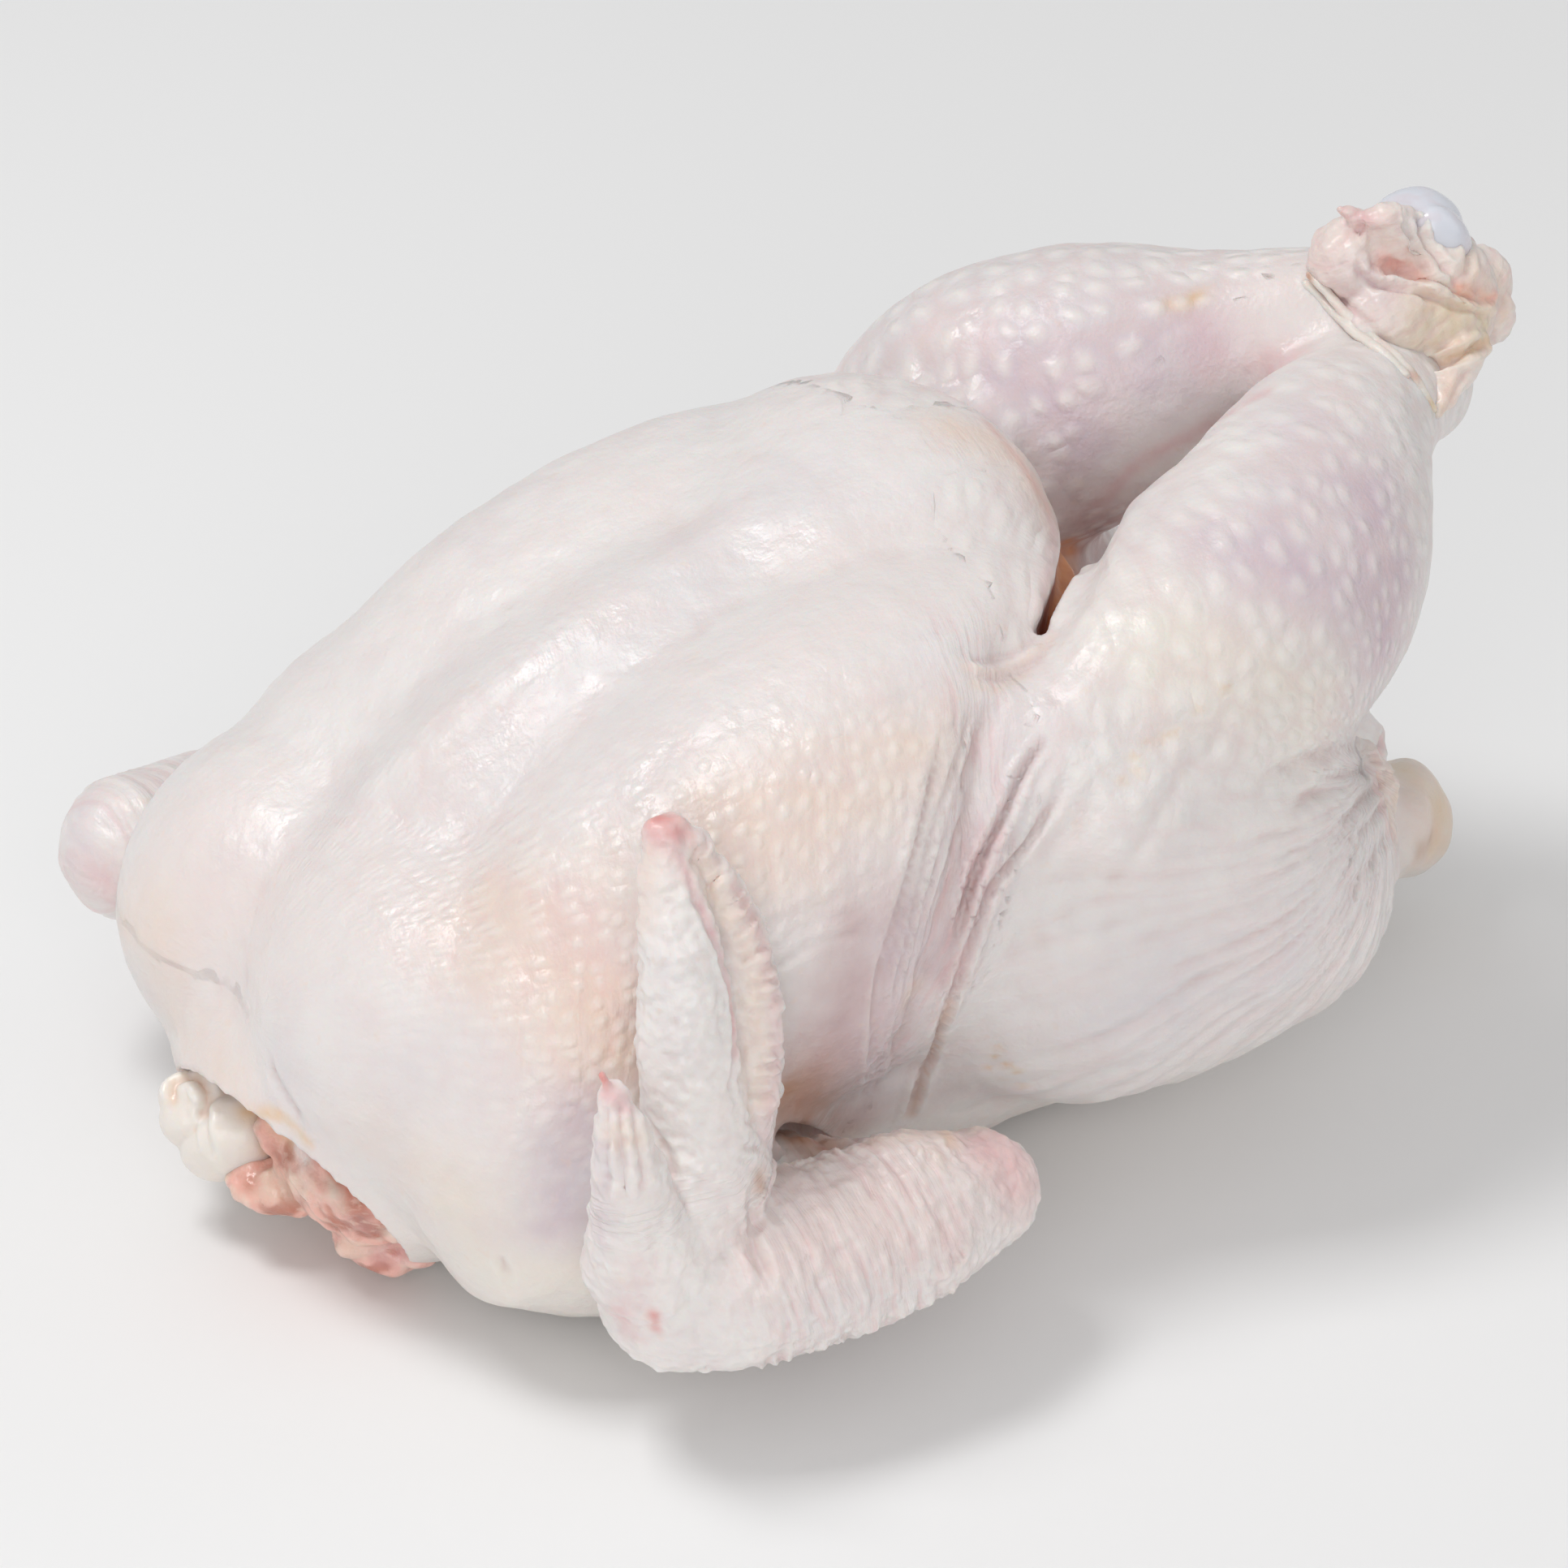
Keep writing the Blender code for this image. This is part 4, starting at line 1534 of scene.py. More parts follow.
NEAR_FOLDS = (
    Fold(KEEL, 3.5, -0.35, 0.0),
    Fold(((1284, 914), (1260, 952), (1236, 1007), (1208, 1062), (1191, 1111), (1178, 1160)), 0.75, 1.7, 0.5),
    Fold(((1298, 987), (1267, 1038), (1225, 1090), (1201, 1145), (1184, 1200), (1170, 1235)), 0.75, 1.1, 0.5),
    Fold(((1190, 1180), (1170, 1235), (1150, 1290), (1135, 1330), (1120, 1380)), 0.75, 1.3, 0.5),
    Fold(((1345, 905), (1325, 950), (1300, 985), (1270, 1030)), 1.3, 0.35),
    Fold(((1191, 819), (1225, 827), (1262, 812), (1284, 792)), 0.9, -0.9, 0.3),
    Fold(((1290, 870), (1330, 820), (1370, 760)), 1.2, 0.4, 0.0),
    Fold(((1262, 880), (1300, 830), (1340, 770)), 1.2, 0.4, 0.0),
    Pleats(
        ((1232, 862), (1206, 940), (1190, 1007), (1168, 1083), (1150, 1150), (1128, 1230), (1105, 1317)),
        ((1165, 890), (1150, 952), (1130, 1030), (1105, 1120), (1085, 1200), (1072, 1290), (1062, 1372)),
        8, 0.95, 0.75,
    ),
    Pleats(
        ((1400, 860), (1350, 930), (1310, 1010), (1275, 1080)),
        ((1530, 880), (1460, 960), (1400, 1040), (1350, 1120)),
        5, 2.4, 0.35,
    ),
    Fold(((1716, 880), (1700, 920), (1696, 962), (1706, 995), (1716, 1035)), 1.2, 2.0, 0.3),
    Fold(((1694, 968), (1676, 990), (1655, 1013)), 0.9, 0.8, 0.5),
    Fold(((1703, 990), (1692, 1008), (1678, 1026)), 0.8, 0.6, 0.5),
    Fold(((1694, 945), (1660, 955), (1625, 975), (1590, 1000)), 1.3, 0.7),
    Fold(((1696, 925), (1650, 925), (1600, 938), (1550, 960)), 1.3, 0.5),
    Fold(((1712, 1025), (1690, 1060), (1660, 1100)), 1.3, 0.6),
    Fold(((332, 1308), (341, 1330), (356, 1356), (372, 1380)), 1.2, 0.6, 0.3),
    Fold(((612, 1544), (624, 1560), (636, 1588), (644, 1608)), 0.9, 0.6, 0.5),
    Pleats(((930, 1150), (1000, 1120), (1060, 1100)), ((950, 1190), (1010, 1160), (1070, 1150)), 3, 1.0, 0.3),
)

FAR_FOLDS = (
    Fold(
        ((0.120, 0.030, 0.110), (0.100, 0.050, 0.098), (0.084, 0.058, 0.072), (0.076, 0.056, 0.048)),
        1.8, 1.8,
    ),
    Fold(((0.112, 0.044, 0.100), (0.094, 0.056, 0.084), (0.084, 0.060, 0.062)), 1.6, 1.2),
    Fold(((0.158, 0.052, 0.080), (0.162, 0.046, 0.066), (0.164, 0.040, 0.054)), 1.6, 1.5),
    Fold(((0.154, 0.056, 0.078), (0.142, 0.062, 0.072), (0.130, 0.066, 0.066)), 1.6, 0.8),
)

SPECKS = (
    (1447, 903), (1461, 900), (1431, 911), (1412, 918), (1396, 934), (1404, 951), (1386, 962),
    (1226, 1302), (1240, 1312), (1233, 1329), (1251, 1321), (1218, 1316), (1257, 1338), (1230, 1292),
    (1509, 846), (1478, 868),
)

NEAR_PATCHES = (
    Patch(((560, 985), (700, 840), (860, 700), (1000, 590)), 9, Tone.SLATE, 0.30),
    Patch(((330, 1130), (480, 1090), (560, 1180)), 16, Tone.ROSE, 0.18),
    Patch(((860, 900), (1000, 800), (1120, 720)), 14, Tone.ROSE, 0.14),
    Patch(((860, 1015), (960, 990), (1060, 965), (1130, 925)), 9, Tone.PEACH, 0.62),
    Patch(((900, 1080), (980, 1060)), 6, Tone.PEACH, 0.45),
    Patch(((610, 1120), (690, 1180), (755, 1280)), 10, Tone.PEACH, 0.55),
    Patch(((700, 1130), (740, 1190), (760, 1240)), 6, Tone.BLUSH, 0.30),
    Patch(((600, 1180), (660, 1250), (730, 1330)), 7, Tone.PEACH, 0.40),
    Patch(((1480, 660), (1560, 690), (1640, 720), (1690, 740)), 5, Tone.LILAC, 0.50),
    Patch(((1440, 800), (1540, 820), (1620, 860)), 12, Tone.FAT, 0.60),
    Patch(((745, 1240), (760, 1290)), 5, Tone.STAIN, 0.28),
    Patch(((745, 1060), (765, 1130)), 6, Tone.PEACH, 0.35),
    Patch(((480, 1320), (600, 1290)), 8, Tone.SLATE, 0.22),
    Patch(((345, 1300), (360, 1360)), 6, Tone.SLATE, 0.35),
    Patch(((715, 1375), (700, 1440), (690, 1510)), 6, Tone.LILAC, 0.60),
    Patch(((710, 1440),), 6, Tone.SLATE, 0.50),
    Patch(((200, 1180), (225, 1260), (280, 1330)), 7, Tone.PEACH, 0.35),
    Patch(((216, 1332), (248, 1335), (258, 1352), (300, 1366), (344, 1374)), 1.3, Tone.PEACH, 0.8),
    Patch(((320, 1372), (344, 1374), (360, 1386), (380, 1408)), 1.0, Tone.STAIN, 0.6),
    Patch(((560, 1480), (600, 1560), (700, 1570)), 7, Tone.FAT, 0.45),
    Patch(((470, 1400), (560, 1470)), 9, Tone.PEACH, 0.22),
    Patch(((1600, 540), (1590, 640), (1560, 700)), 12, Tone.LILAC, 0.42),
    Patch(((1450, 550), (1500, 565)), 9, Tone.PALE, 0.85),
    Patch(((1690, 620), (1715, 720), (1700, 790)), 9, Tone.LILAC, 0.75),
    Patch(((1600, 700), (1680, 730)), 6, Tone.LILAC, 0.45),
    Patch(((1100, 420), (1200, 380), (1330, 340)), 13, Tone.SLATE, 0.45),
    Patch(((1230, 450), (1330, 450), (1430, 450)), 10, Tone.LILAC, 0.55),
    Patch(((1300, 500), (1330, 540)), 7, Tone.LILAC, 0.70),
    Patch(((1480, 400), (1500, 437)), 5, Tone.BLUSH, 0.40),
    Patch(((1563, 452), (1590, 440)), 3.5, Tone.BLUSH, 0.55),
    Patch(((1540, 370), (1590, 350)), 6, Tone.ROSE, 0.35),
    Patch(((1442, 374), (1460, 372), (1476, 364)), 1.5, Tone.STAIN, 0.80),
    Patch(((1340, 640), (1400, 575), (1480, 530), (1560, 482)), 1.8, Tone.BLUSH, 0.50),
    Patch(((1320, 610), (1345, 640)), 5, Tone.PLUM, 0.45),
    # Painted shade in the recess between the thighs behind the breast's rim.
    Patch(((1322, 672), (1342, 660), (1362, 646)), 2.0, Tone.PLUM, 0.75),
    Patch(((1342, 672), (1362, 664)), 4.0, Tone.PLUM, 0.60),
    Patch(((1400, 395), (1480, 410)), 8, Tone.LILAC, 0.30),
    # Painted shade in the armpit between the wing and the thigh, laid over the flank's own purplish tone.
    Patch(((1080, 1150), (1045, 1250), (1000, 1350)), 9, Tone.PLUM, 0.62),
    Patch(((1040, 1270), (1015, 1340)), 8, Tone.PLUM, 0.40),
    Patch(((975, 1340), (1000, 1375), (1040, 1385)), 6, Tone.UMBER, 0.72),
    Patch(((1215, 1040), (1190, 1110), (1160, 1190)), 4.5, Tone.PLUM, 0.62),
    Patch(((800, 930), (800, 990)), 12, Tone.SLATE, 0.20),
    Patch(((250, 1050), (260, 1120)), 12, Tone.ROSE, 0.30),
    # Painted shade in the armpit's dark hole.
    Patch(((985, 1395), (1010, 1410)), 4, Tone.UMBER, 0.75),
    Patch(((1100, 1160), (1080, 1290), (1060, 1370)), 6, Tone.LILAC, 0.35),
    # Reddish lines in the flank's main folds: partly the creases' own colour, partly painted shade in them.
    Patch(((1284, 914), (1236, 1007), (1191, 1111)), 0.8, Tone.PLUM, 0.40),
    Patch(((1225, 1090), (1184, 1200), (1150, 1290), (1122, 1372)), 0.8, Tone.PLUM, 0.40),
    Patch(((1170, 1235), (1150, 1290), (1122, 1372)), 0.8, Tone.STAIN, 0.50),
    Patch(((1125, 1215), (1118, 1235)), 1.5, Tone.STAIN, 0.40),
    Patch(((1240, 900), (1170, 1100), (1100, 1290)), 7, Tone.LILAC, 0.20),
    Patch(((1150, 1350), (1190, 1340), (1240, 1350)), 5, Tone.PLUM, 0.25),
    *(Patch((spot,), 0.8, Tone.STAIN, 0.60) for spot in SPECKS),
    # Painted shade: the underside of the near thigh is greyed.
    Patch(((1400, 1240), (1560, 1180)), 14, Tone.SLATE, 0.50),
    Patch(((1180, 530), (1250, 560), (1288, 620)), 6.0, Tone.PEACH, 0.60),
    Patch(((1216, 520), (1252, 563), (1274, 598), (1290, 630)), 0.9, Tone.STAIN, 0.40),
    Patch(
        ((1218, 522), (1254, 565), (1276, 600), (1293, 632), (1298, 690), (1280, 745)),
        1.6, Tone.BLUSH, 0.45,
    ),
    Patch(((1191, 821), (1225, 828), (1267, 808), (1294, 787)), 1.2, Tone.PEACH, 0.45),
    Patch(((1200, 842), (1228, 848), (1262, 832)), 1.0, Tone.STAIN, 0.25),
    Patch(((1150, 810), (1120, 860)), 6, Tone.SLATE, 0.25),
    Patch(((1714, 880), (1700, 920), (1697, 965), (1706, 1000), (1719, 1045)), 1.2, Tone.BLUSH, 0.60),
    Patch(((1730, 930), (1738, 1010)), 4.0, Tone.ROSE, 0.50),
    Patch(((1793, 990), (1770, 1010)), 9, Tone.PEACH, 0.95),
    Patch(((1775, 1000), (1765, 1040)), 3, Tone.STAIN, 0.40),
    Patch(((1761, 1036), (1750, 1050)), 2.0, Tone.UMBER, 0.50),
    Patch(((150, 1140), (190, 1120)), 6, Tone.PEACH, 0.35),
    Patch(((1110, 360), (1160, 330)), 8, Tone.ROSE, 0.20),
)

FAR_PATCHES = (
    Patch(((0.150, 0.050, 0.110), (0.135, 0.060, 0.100)), 16, Tone.LILAC, 0.40),
    Patch(((0.060, 0.062, 0.085), (0.040, 0.056, 0.075)), 12, Tone.PEACH, 0.40),
    Patch(((0.080, 0.060, 0.070), (0.070, 0.060, 0.050)), 10, Tone.PLUM, 0.25),
    Patch(((0.195, 0.0, 0.035), (0.200, 0.0, 0.026)), 9, Tone.STRAW, 0.5),
    # Painted shade on the far thigh's inner side, in the recess behind the breast's rim.
    Patch(((0.145, 0.020, 0.084), (0.150, 0.018, 0.090)), 7, Tone.PLUM, 0.70),
)


@dataclass
class RightWing:
    """The wing on the bird's right: its forearm lies along the flank and its tip stands up."""

    forearm: float = 0.0140
    voxel: float = 0.00042

    def masses(self) -> list[Mass | Limb]:
        """Upper arm, forearm, hand with its scalloped hind flap, and thumb.

        Returns:
            The masses.
        """
        upper_arm = (
            (0.028, -0.050, 0.036, 0.015),
            (0.048, -0.058, 0.033, 0.011),
            (0.064, -0.068, 0.035, 0.009),
        )
        forearm = (
            (1203, 1468, -0.073, self.forearm - 0.0042),
            (1130, 1495, -0.075, self.forearm - 0.0010),
            (1020, 1538, -0.076, self.forearm),
            (900, 1573, -0.075, self.forearm),
            (838, 1588, -0.072, self.forearm - 0.0014),
        )
        hand = (
            (838, 1480, -0.0700, 0.0125),
            (858, 1390, -0.0712, 0.0087),
            (846, 1290, -0.0705, 0.0076),
            (838, 1180, -0.0680, 0.0063),
            (823, 1080, -0.0640, 0.0047),
            (818, 1030, -0.0620, 0.0033),
        )
        flap = (
            (830, 1022, -0.0620, 0.0024),
            (866, 1064, -0.0628, 0.0032),
            (898, 1122, -0.0650, 0.0040),
            (920, 1190, -0.0675, 0.0042),
            (927, 1262, -0.0695, 0.0043),
            (923, 1340, -0.0708, 0.0046),
            (903, 1420, -0.0715, 0.0056),
        )
        web = (
            (845, 1075, -0.0615, 0.0026),
            (880, 1150, -0.0645, 0.0036),
            (905, 1260, -0.0680, 0.0042),
            (903, 1370, -0.0700, 0.0048),
        )
        thumb = (
            (802, 1550, -0.0735, 0.0105),
            (784, 1490, -0.0770, 0.0070),
            (773, 1430, -0.0785, 0.0053),
            (763, 1380, -0.0790, 0.0038),
            (756, 1352, -0.0785, 0.0024),
        )
        claw = ((752, 1347, -0.0785, 0.0010), (741, 1324, -0.0785, 0.0005))
        limbs = [photo_limb(shape) for shape in (forearm, hand, flap, web, thumb, claw)]
        wrist = photo_mass(872, 1450, -0.0725, (0.0100, 0.0092, 0.0125))
        return [Limb(upper_arm), *limbs, wrist, *self.scallops()]

    def scallops(self) -> list[Mass]:
        """The lumps along the hand's hind edge, where the quills sat.

        Returns:
            The masses.
        """
        lumps = []
        for i, (column, row) in enumerate(FLAP_EDGE):
            y = -0.0610 - 0.0095 * i / (len(FLAP_EDGE) - 1)
            size = 0.0028 + 0.0005 * math.sin(i * 2.1)
            lumps.append(photo_mass(column - 11, row, y, (size, size * 0.9, size * 0.7)))
        return lumps

    def build(self) -> Clay:
        """Models the wing.

        Returns:
            Its surface, sculpted and coloured.
        """
        obj = fuse("right_wing_skin", self.masses(), self.voxel, 5)
        clay = Clay(obj)
        work_all(clay, WING_FOLDS)
        clay.write()
        top_edge = ((1160, 1386), (1100, 1400), (1000, 1428), (945, 1442))
        clay.beads(top_edge, 0.0030, 0.0018, 0.0006)
        low_edge = ((1220, 1556), (1186, 1588), (1100, 1620), (1000, 1668), (930, 1692), (860, 1684))
        clay.beads(low_edge, 0.0042, 0.0022, 0.0007)
        clay.beads(FLAP_EDGE[1:-1], 0.0034, 0.0020, 0.0009)
        clay.write()
        flow, along = self.flow(clay)
        lines = clay.grain(flow / np.array((0.0015, 0.0065, 1.0)), 7)
        fine = clay.grain(flow / np.array((0.0008, 0.0030, 1.0)), 11)
        creased = self.creased(along)
        clay.lift((0.00062 * lines + 0.00022 * fine) * creased)
        clay.mould(0.0045, 0.0005, 4)
        clay.mould(0.0022, 0.00030, 5)
        clay.mould(0.0014, 0.00030, 8, 1 - 0.6 * creased)
        clay.settle()
        clay.write()
        clay.thin()
        clay.wash(Tone.PALE, 0.38)
        # Painted shade: the wing's hollows are tinted rose, and its crests are paled as painted light.
        clay.paint_hollow_shade_and_crest_light(4, 0.00026, Tone.ROSE, 0.60)
        work_all(clay, WING_PATCHES)
        flow, along = self.flow(clay)
        clay.keep_skin(flow, 0.30, 0.9 * self.creased(along))
        return clay

    def creased(self, along: np.ndarray) -> np.ndarray:
        """How strongly the wing is wrinkled at a distance from the elbow: on the forearm alone."""
        return rise(along, 0.004, 0.018) * (1 - rise(along, 0.042, 0.056))

    def flow(self, clay: Clay) -> tuple[np.ndarray, np.ndarray]:
        """How wrinkles run: across the forearm, and round the hand.

        Args:
            clay: The wing's surface.

        Returns:
            Place across and along the wrinkles, and the distance from the elbow along the wing.
        """
        elbow, wrist = np.array((0.074, -0.074, 0.044)), np.array((0.022, -0.074, 0.034))
        tip = np.array((0.024, -0.062, 0.108))
        arm, hand = wrist - elbow, tip - wrist
        on_arm = (clay.points - elbow) @ arm / np.linalg.norm(arm)
        on_hand = (clay.points - wrist) @ hand / np.linalg.norm(hand)
        turn = 1 - rise(on_hand - 0.5 * np.maximum(0, 0.045 - on_arm), 0.014, 0.026)
        along = on_arm * turn + (np.linalg.norm(arm) + on_hand) * (1 - turn)
        x, _, z = clay.points.T
        around = (z - x * 0.25) * turn + x * (1 - turn)
        return flow_of(along, around), along


FLAP_EDGE = (
    (836, 1016), (860, 1040), (890, 1076), (908, 1108), (928, 1140), (940, 1168), (949, 1205), (953, 1240),
    (956, 1275), (955, 1310), (950, 1345), (944, 1380), (936, 1412),
)

FLAP_GROOVE = (
    (834, 1045), (845, 1075), (858, 1105), (870, 1135), (882, 1165), (892, 1195), (898, 1225), (902, 1252),
    (904, 1285), (904, 1320), (903, 1350), (900, 1385), (898, 1415),
)

FLAP_MIDDLE = ((860, 1070), (900, 1120), (930, 1190), (935, 1270), (930, 1350))


def quill_folds() -> tuple[Fold, ...]:
    """The short grooves between the scallops of the flap's edge.

    Returns:
        The grooves, from the tip down.
    """
    folds = []
    for inner, outer in zip(FLAP_GROOVE[1:], FLAP_EDGE[1:]):
        start = tuple(0.6 * a + 0.4 * b for a, b in zip(inner, outer))
        folds.append(Fold((start, outer), 0.6, 0.42, 0.4))
    return tuple(folds)


WING_FOLDS = (
    Fold(FLAP_GROOVE[1:-2], 0.8, 0.6, 0.4),
    *quill_folds(),
    Fold(((935, 1452), (928, 1480), (930, 1530), (945, 1580)), 1.1, 1.0, 0.4),
    Fold(((797, 1375), (812, 1402), (824, 1426), (830, 1450)), 0.8, 0.7, 0.3),
    Fold(((750, 1362), (745, 1420), (748, 1480)), 0.7, 0.5),
    Fold(((764, 1355), (766, 1420), (772, 1480)), 0.7, 0.7),
    Fold(((780, 1365), (788, 1420), (795, 1470)), 0.7, 0.6),
    Fold(((1192, 1385), (1196, 1420), (1190, 1450)), 1.8, 0.35),
    Fold(((1160, 1590), (1182, 1586), (1190, 1576)), 1.0, -0.6),
    Fold(((830, 1480), (800, 1550), (790, 1610)), 1.4, 0.4),
    Fold(((880, 1500), (850, 1580), (840, 1650)), 1.4, 0.4),
)

WING_PATCHES = (
    Patch(((812, 1008), (832, 1020)), 3.0, Tone.RED, 0.75),
    Patch(((800, 1030), (845, 1040), (868, 1062)), 3.0, Tone.BLUSH, 0.50),
    Patch(((795, 1060), (790, 1130)), 3.0, Tone.PEACH, 0.35),
    Patch(FLAP_MIDDLE, 3.6, Tone.PALE, 0.70),
    Patch(FLAP_MIDDLE, 3.6, Tone.PEACH, 0.50),
    Patch(((905, 1090), (940, 1160), (957, 1250), (957, 1320), (943, 1400)), 1.6, Tone.BLUSH, 0.42),
    Patch(((840, 1062), (871, 1136), (892, 1194), (902, 1251), (904, 1300)), 0.9, Tone.BLUSH, 0.65),
    Patch(((1215, 1412), (1250, 1432)), 6.5, Tone.BLUSH, 0.85),
    # Painted shade where the wing meets the armpit.
    Patch(((965, 1388), (985, 1402), (1012, 1412)), 4.0, Tone.UMBER, 0.85),
    Patch(((850, 1540), (850, 1590)), 7.0, Tone.PALE, 0.80),
    Patch(((1165, 1395), (1172, 1410)), 1.6, Tone.STAIN, 0.45),
    Patch(((1080, 1405), (1150, 1395), (1200, 1390)), 3.0, Tone.PEACH, 0.45),
    Patch(((805, 1618), (808, 1636)), 1.0, Tone.RED, 0.60),
    Patch(((764, 1620), (775, 1640)), 2.6, Tone.BLUSH, 0.50),
    Patch(((790, 1560), (780, 1600)), 3.0, Tone.BLUSH, 0.22),
    Patch(((738, 1322), (745, 1338)), 1.2, Tone.RED, 0.9),
    Patch(((750, 1350), (770, 1362)), 2.0, Tone.BLUSH, 0.60),
    Patch(((755, 1400), (785, 1400)), 2.4, Tone.PEACH, 0.50),
    Patch(((1000, 1600), (1100, 1580)), 8.0, Tone.SLATE, 0.25),
    Patch(((1000, 1470), (1100, 1450)), 7.0, Tone.ROSE, 0.50),
    Patch(((950, 1540), (1050, 1525), (1150, 1500)), 9.0, Tone.ROSE, 0.62),
    Patch(((1235, 1440), (1262, 1462)), 6.0, Tone.ROSE, 0.80),
    Patch(((1225, 1425), (1245, 1455)), 4.0, Tone.BLUSH, 0.40),
    Patch(((820, 1200), (835, 1300)), 4.0, Tone.SLATE, 0.22),
    Patch(((935, 1447), (938, 1462)), 1.4, Tone.UMBER, 0.65),
    Patch(((740, 1420), (738, 1520)), 3.0, Tone.LILAC, 0.35),
)


@dataclass
class LeftWing:
    """The wing on the bird's left: its wrist is pushed forward and its tip lies back along the side."""

    forearm: float = 0.0145
    voxel: float = 0.00085

    def masses(self) -> list[Mass | Limb]:
        """Upper arm, forearm and hand.

        Returns:
            The masses.
        """
        upper_arm = ((0.022, 0.048, 0.048, 0.018), (0.040, 0.060, 0.040, 0.016), (0.052, 0.072, 0.036, 0.013))
        forearm = (
            (0.052, 0.076, 0.036, self.forearm - 0.0005),
            (0.032, 0.075, 0.038, self.forearm),
            (0.010, 0.070, 0.043, self.forearm - 0.0005),
            (-0.007, 0.063, 0.049, self.forearm - 0.0020),
        )
        hand = (
            (0.000, 0.066, 0.045, 0.0105),
            (0.011, 0.078, 0.030, 0.0100),
            (0.026, 0.086, 0.017, 0.0088),
            (0.046, 0.088, 0.010, 0.0045),
        )
        return [Limb(upper_arm), Limb(forearm), Limb(hand, 0.7)]

    def build(self) -> Clay:
        """Models the wing.

        Returns:
            Its surface, sculpted and coloured.
        """
        obj = fuse("left_wing_skin", self.masses(), self.voxel, 6)
        clay = Clay(obj)
        elbow, wrist = np.array((0.052, 0.076, 0.036)), np.array((-0.007, 0.063, 0.049))
        arm = wrist - elbow
        along = (clay.points - elbow) @ arm / np.linalg.norm(arm)
        flow = flow_of(along, clay.points[:, 2])
        lines = clay.grain(flow / np.array((0.0018, 0.010, 1.0)), 8)
        clay.lift(0.00060 * lines)
        clay.mould(0.006, 0.0005, 6)
        clay.settle()
        clay.write()
        # Painted shade: the wing's hollows are tinted rose, and its crests are paled as painted light.
        clay.paint_hollow_shade_and_crest_light(3, 0.00025, Tone.ROSE, 0.45)
        work_all(clay, FAR_WING_PATCHES)
        clay.keep_skin(flow, 0.4, 0.7)
        return clay


FAR_WING_PATCHES = (
    Patch(((130, 1085), (150, 1110)), 4.0, Tone.BLUSH, 0.45),
    Patch(((100, 1000), (90, 1060)), 5.0, Tone.LILAC, 0.25),
    Patch(((0.046, 0.088, 0.010), (0.040, 0.088, 0.012)), 5.0, Tone.BLUSH, 0.5),
    Patch(((0.052, 0.086, 0.040), (0.050, 0.084, 0.048)), 6.0, Tone.BLUSH, 0.3),
)


@dataclass
class HockSkin:
    """The cut skin round the crossed hocks, with its loose flaps and its seam."""

    voxel: float = 0.00036

    def masses(self) -> list[Mass | Limb]:
        """Ball of the joint, torn flaps and the lobe behind.

        Returns:
            The masses.
        """
        lower_flap = (
            (1790, 425, -0.010, 0.0062),
            (1786, 458, -0.014, 0.0044),
            (1777, 488, -0.018, 0.0026),
            (1770, 510, -0.021, 0.0010),
        )
        upper_flap = ((1690, 285, 0.000, 0.0036), (1668, 266, 0.000, 0.0022), (1649, 257, 0.000, 0.0006))
        crest = ((1690, 272, -0.003, 0.0022), (1712, 264, -0.004, 0.0026), (1734, 268, -0.005, 0.0018))
        return [
            Mass((0.1960, 0.0005, 0.1262), (0.0142, 0.0140, 0.0134), (0, -20, 0)),
            photo_mass(1712, 386, -0.004, (0.0095, 0.0090, 0.0085)),
            photo_mass(1665, 318, 0.001, (0.0072, 0.0070, 0.0070)),
            photo_mass(1722, 292, -0.002, (0.0062, 0.0056, 0.0050)),
            photo_mass(1822, 346, 0.002, (0.0056, 0.0060, 0.0060)),
            photo_mass(1836, 388, -0.002, (0.0040, 0.0046, 0.0050)),
            photo_limb(lower_flap, 0.8),
            photo_limb(upper_flap, 0.7),
            photo_limb(crest, 0.8),
        ]

    def build(self) -> Clay:
        """Models the cuff.

        Returns:
            Its surface, sculpted and coloured.
        """
        obj = fuse("hock_skin", self.masses(), self.voxel, 6)
        lower = photo_mass(1794, 284, -0.011, (0.0066, 0.0078, 0.0076))
        upper = photo_mass(1772, 262, -0.008, (0.0056, 0.0070, 0.0060))
        carve(obj, lower.add() + upper.add())
        remesh(obj, self.voxel, 6)
        clay = Clay(obj)
        clay.swell(((1702, 308), (1742, 318)), 0.0034, -0.0015)
        clay.swell(((1800, 346), (1832, 360)), 0.0026, -0.0020)
        work_all(clay, HOCK_FOLDS)
        clay.write()
        clay.mould(0.004, 0.0005, 9)
        clay.mould(0.0016, 0.0003, 10)
        clay.write()
        clay.lay_out()
        clay.wash(Tone.PALE, 0.35)
        clay.wash(Tone.PEACH, 0.30)
        # Painted shade: the cuff's hollows are tinted blush, and its crests are paled as painted light.
        clay.paint_hollow_shade_and_crest_light(4, 0.00026, Tone.BLUSH, 0.45)
        work_all(clay, HOCK_PATCHES)
        x, _, z = clay.points.T
        clay.keep_skin(flow_of(z * 0.9 - x * 0.4, x * 0.9 + z * 0.4), 0.25, 0.8)
        return clay


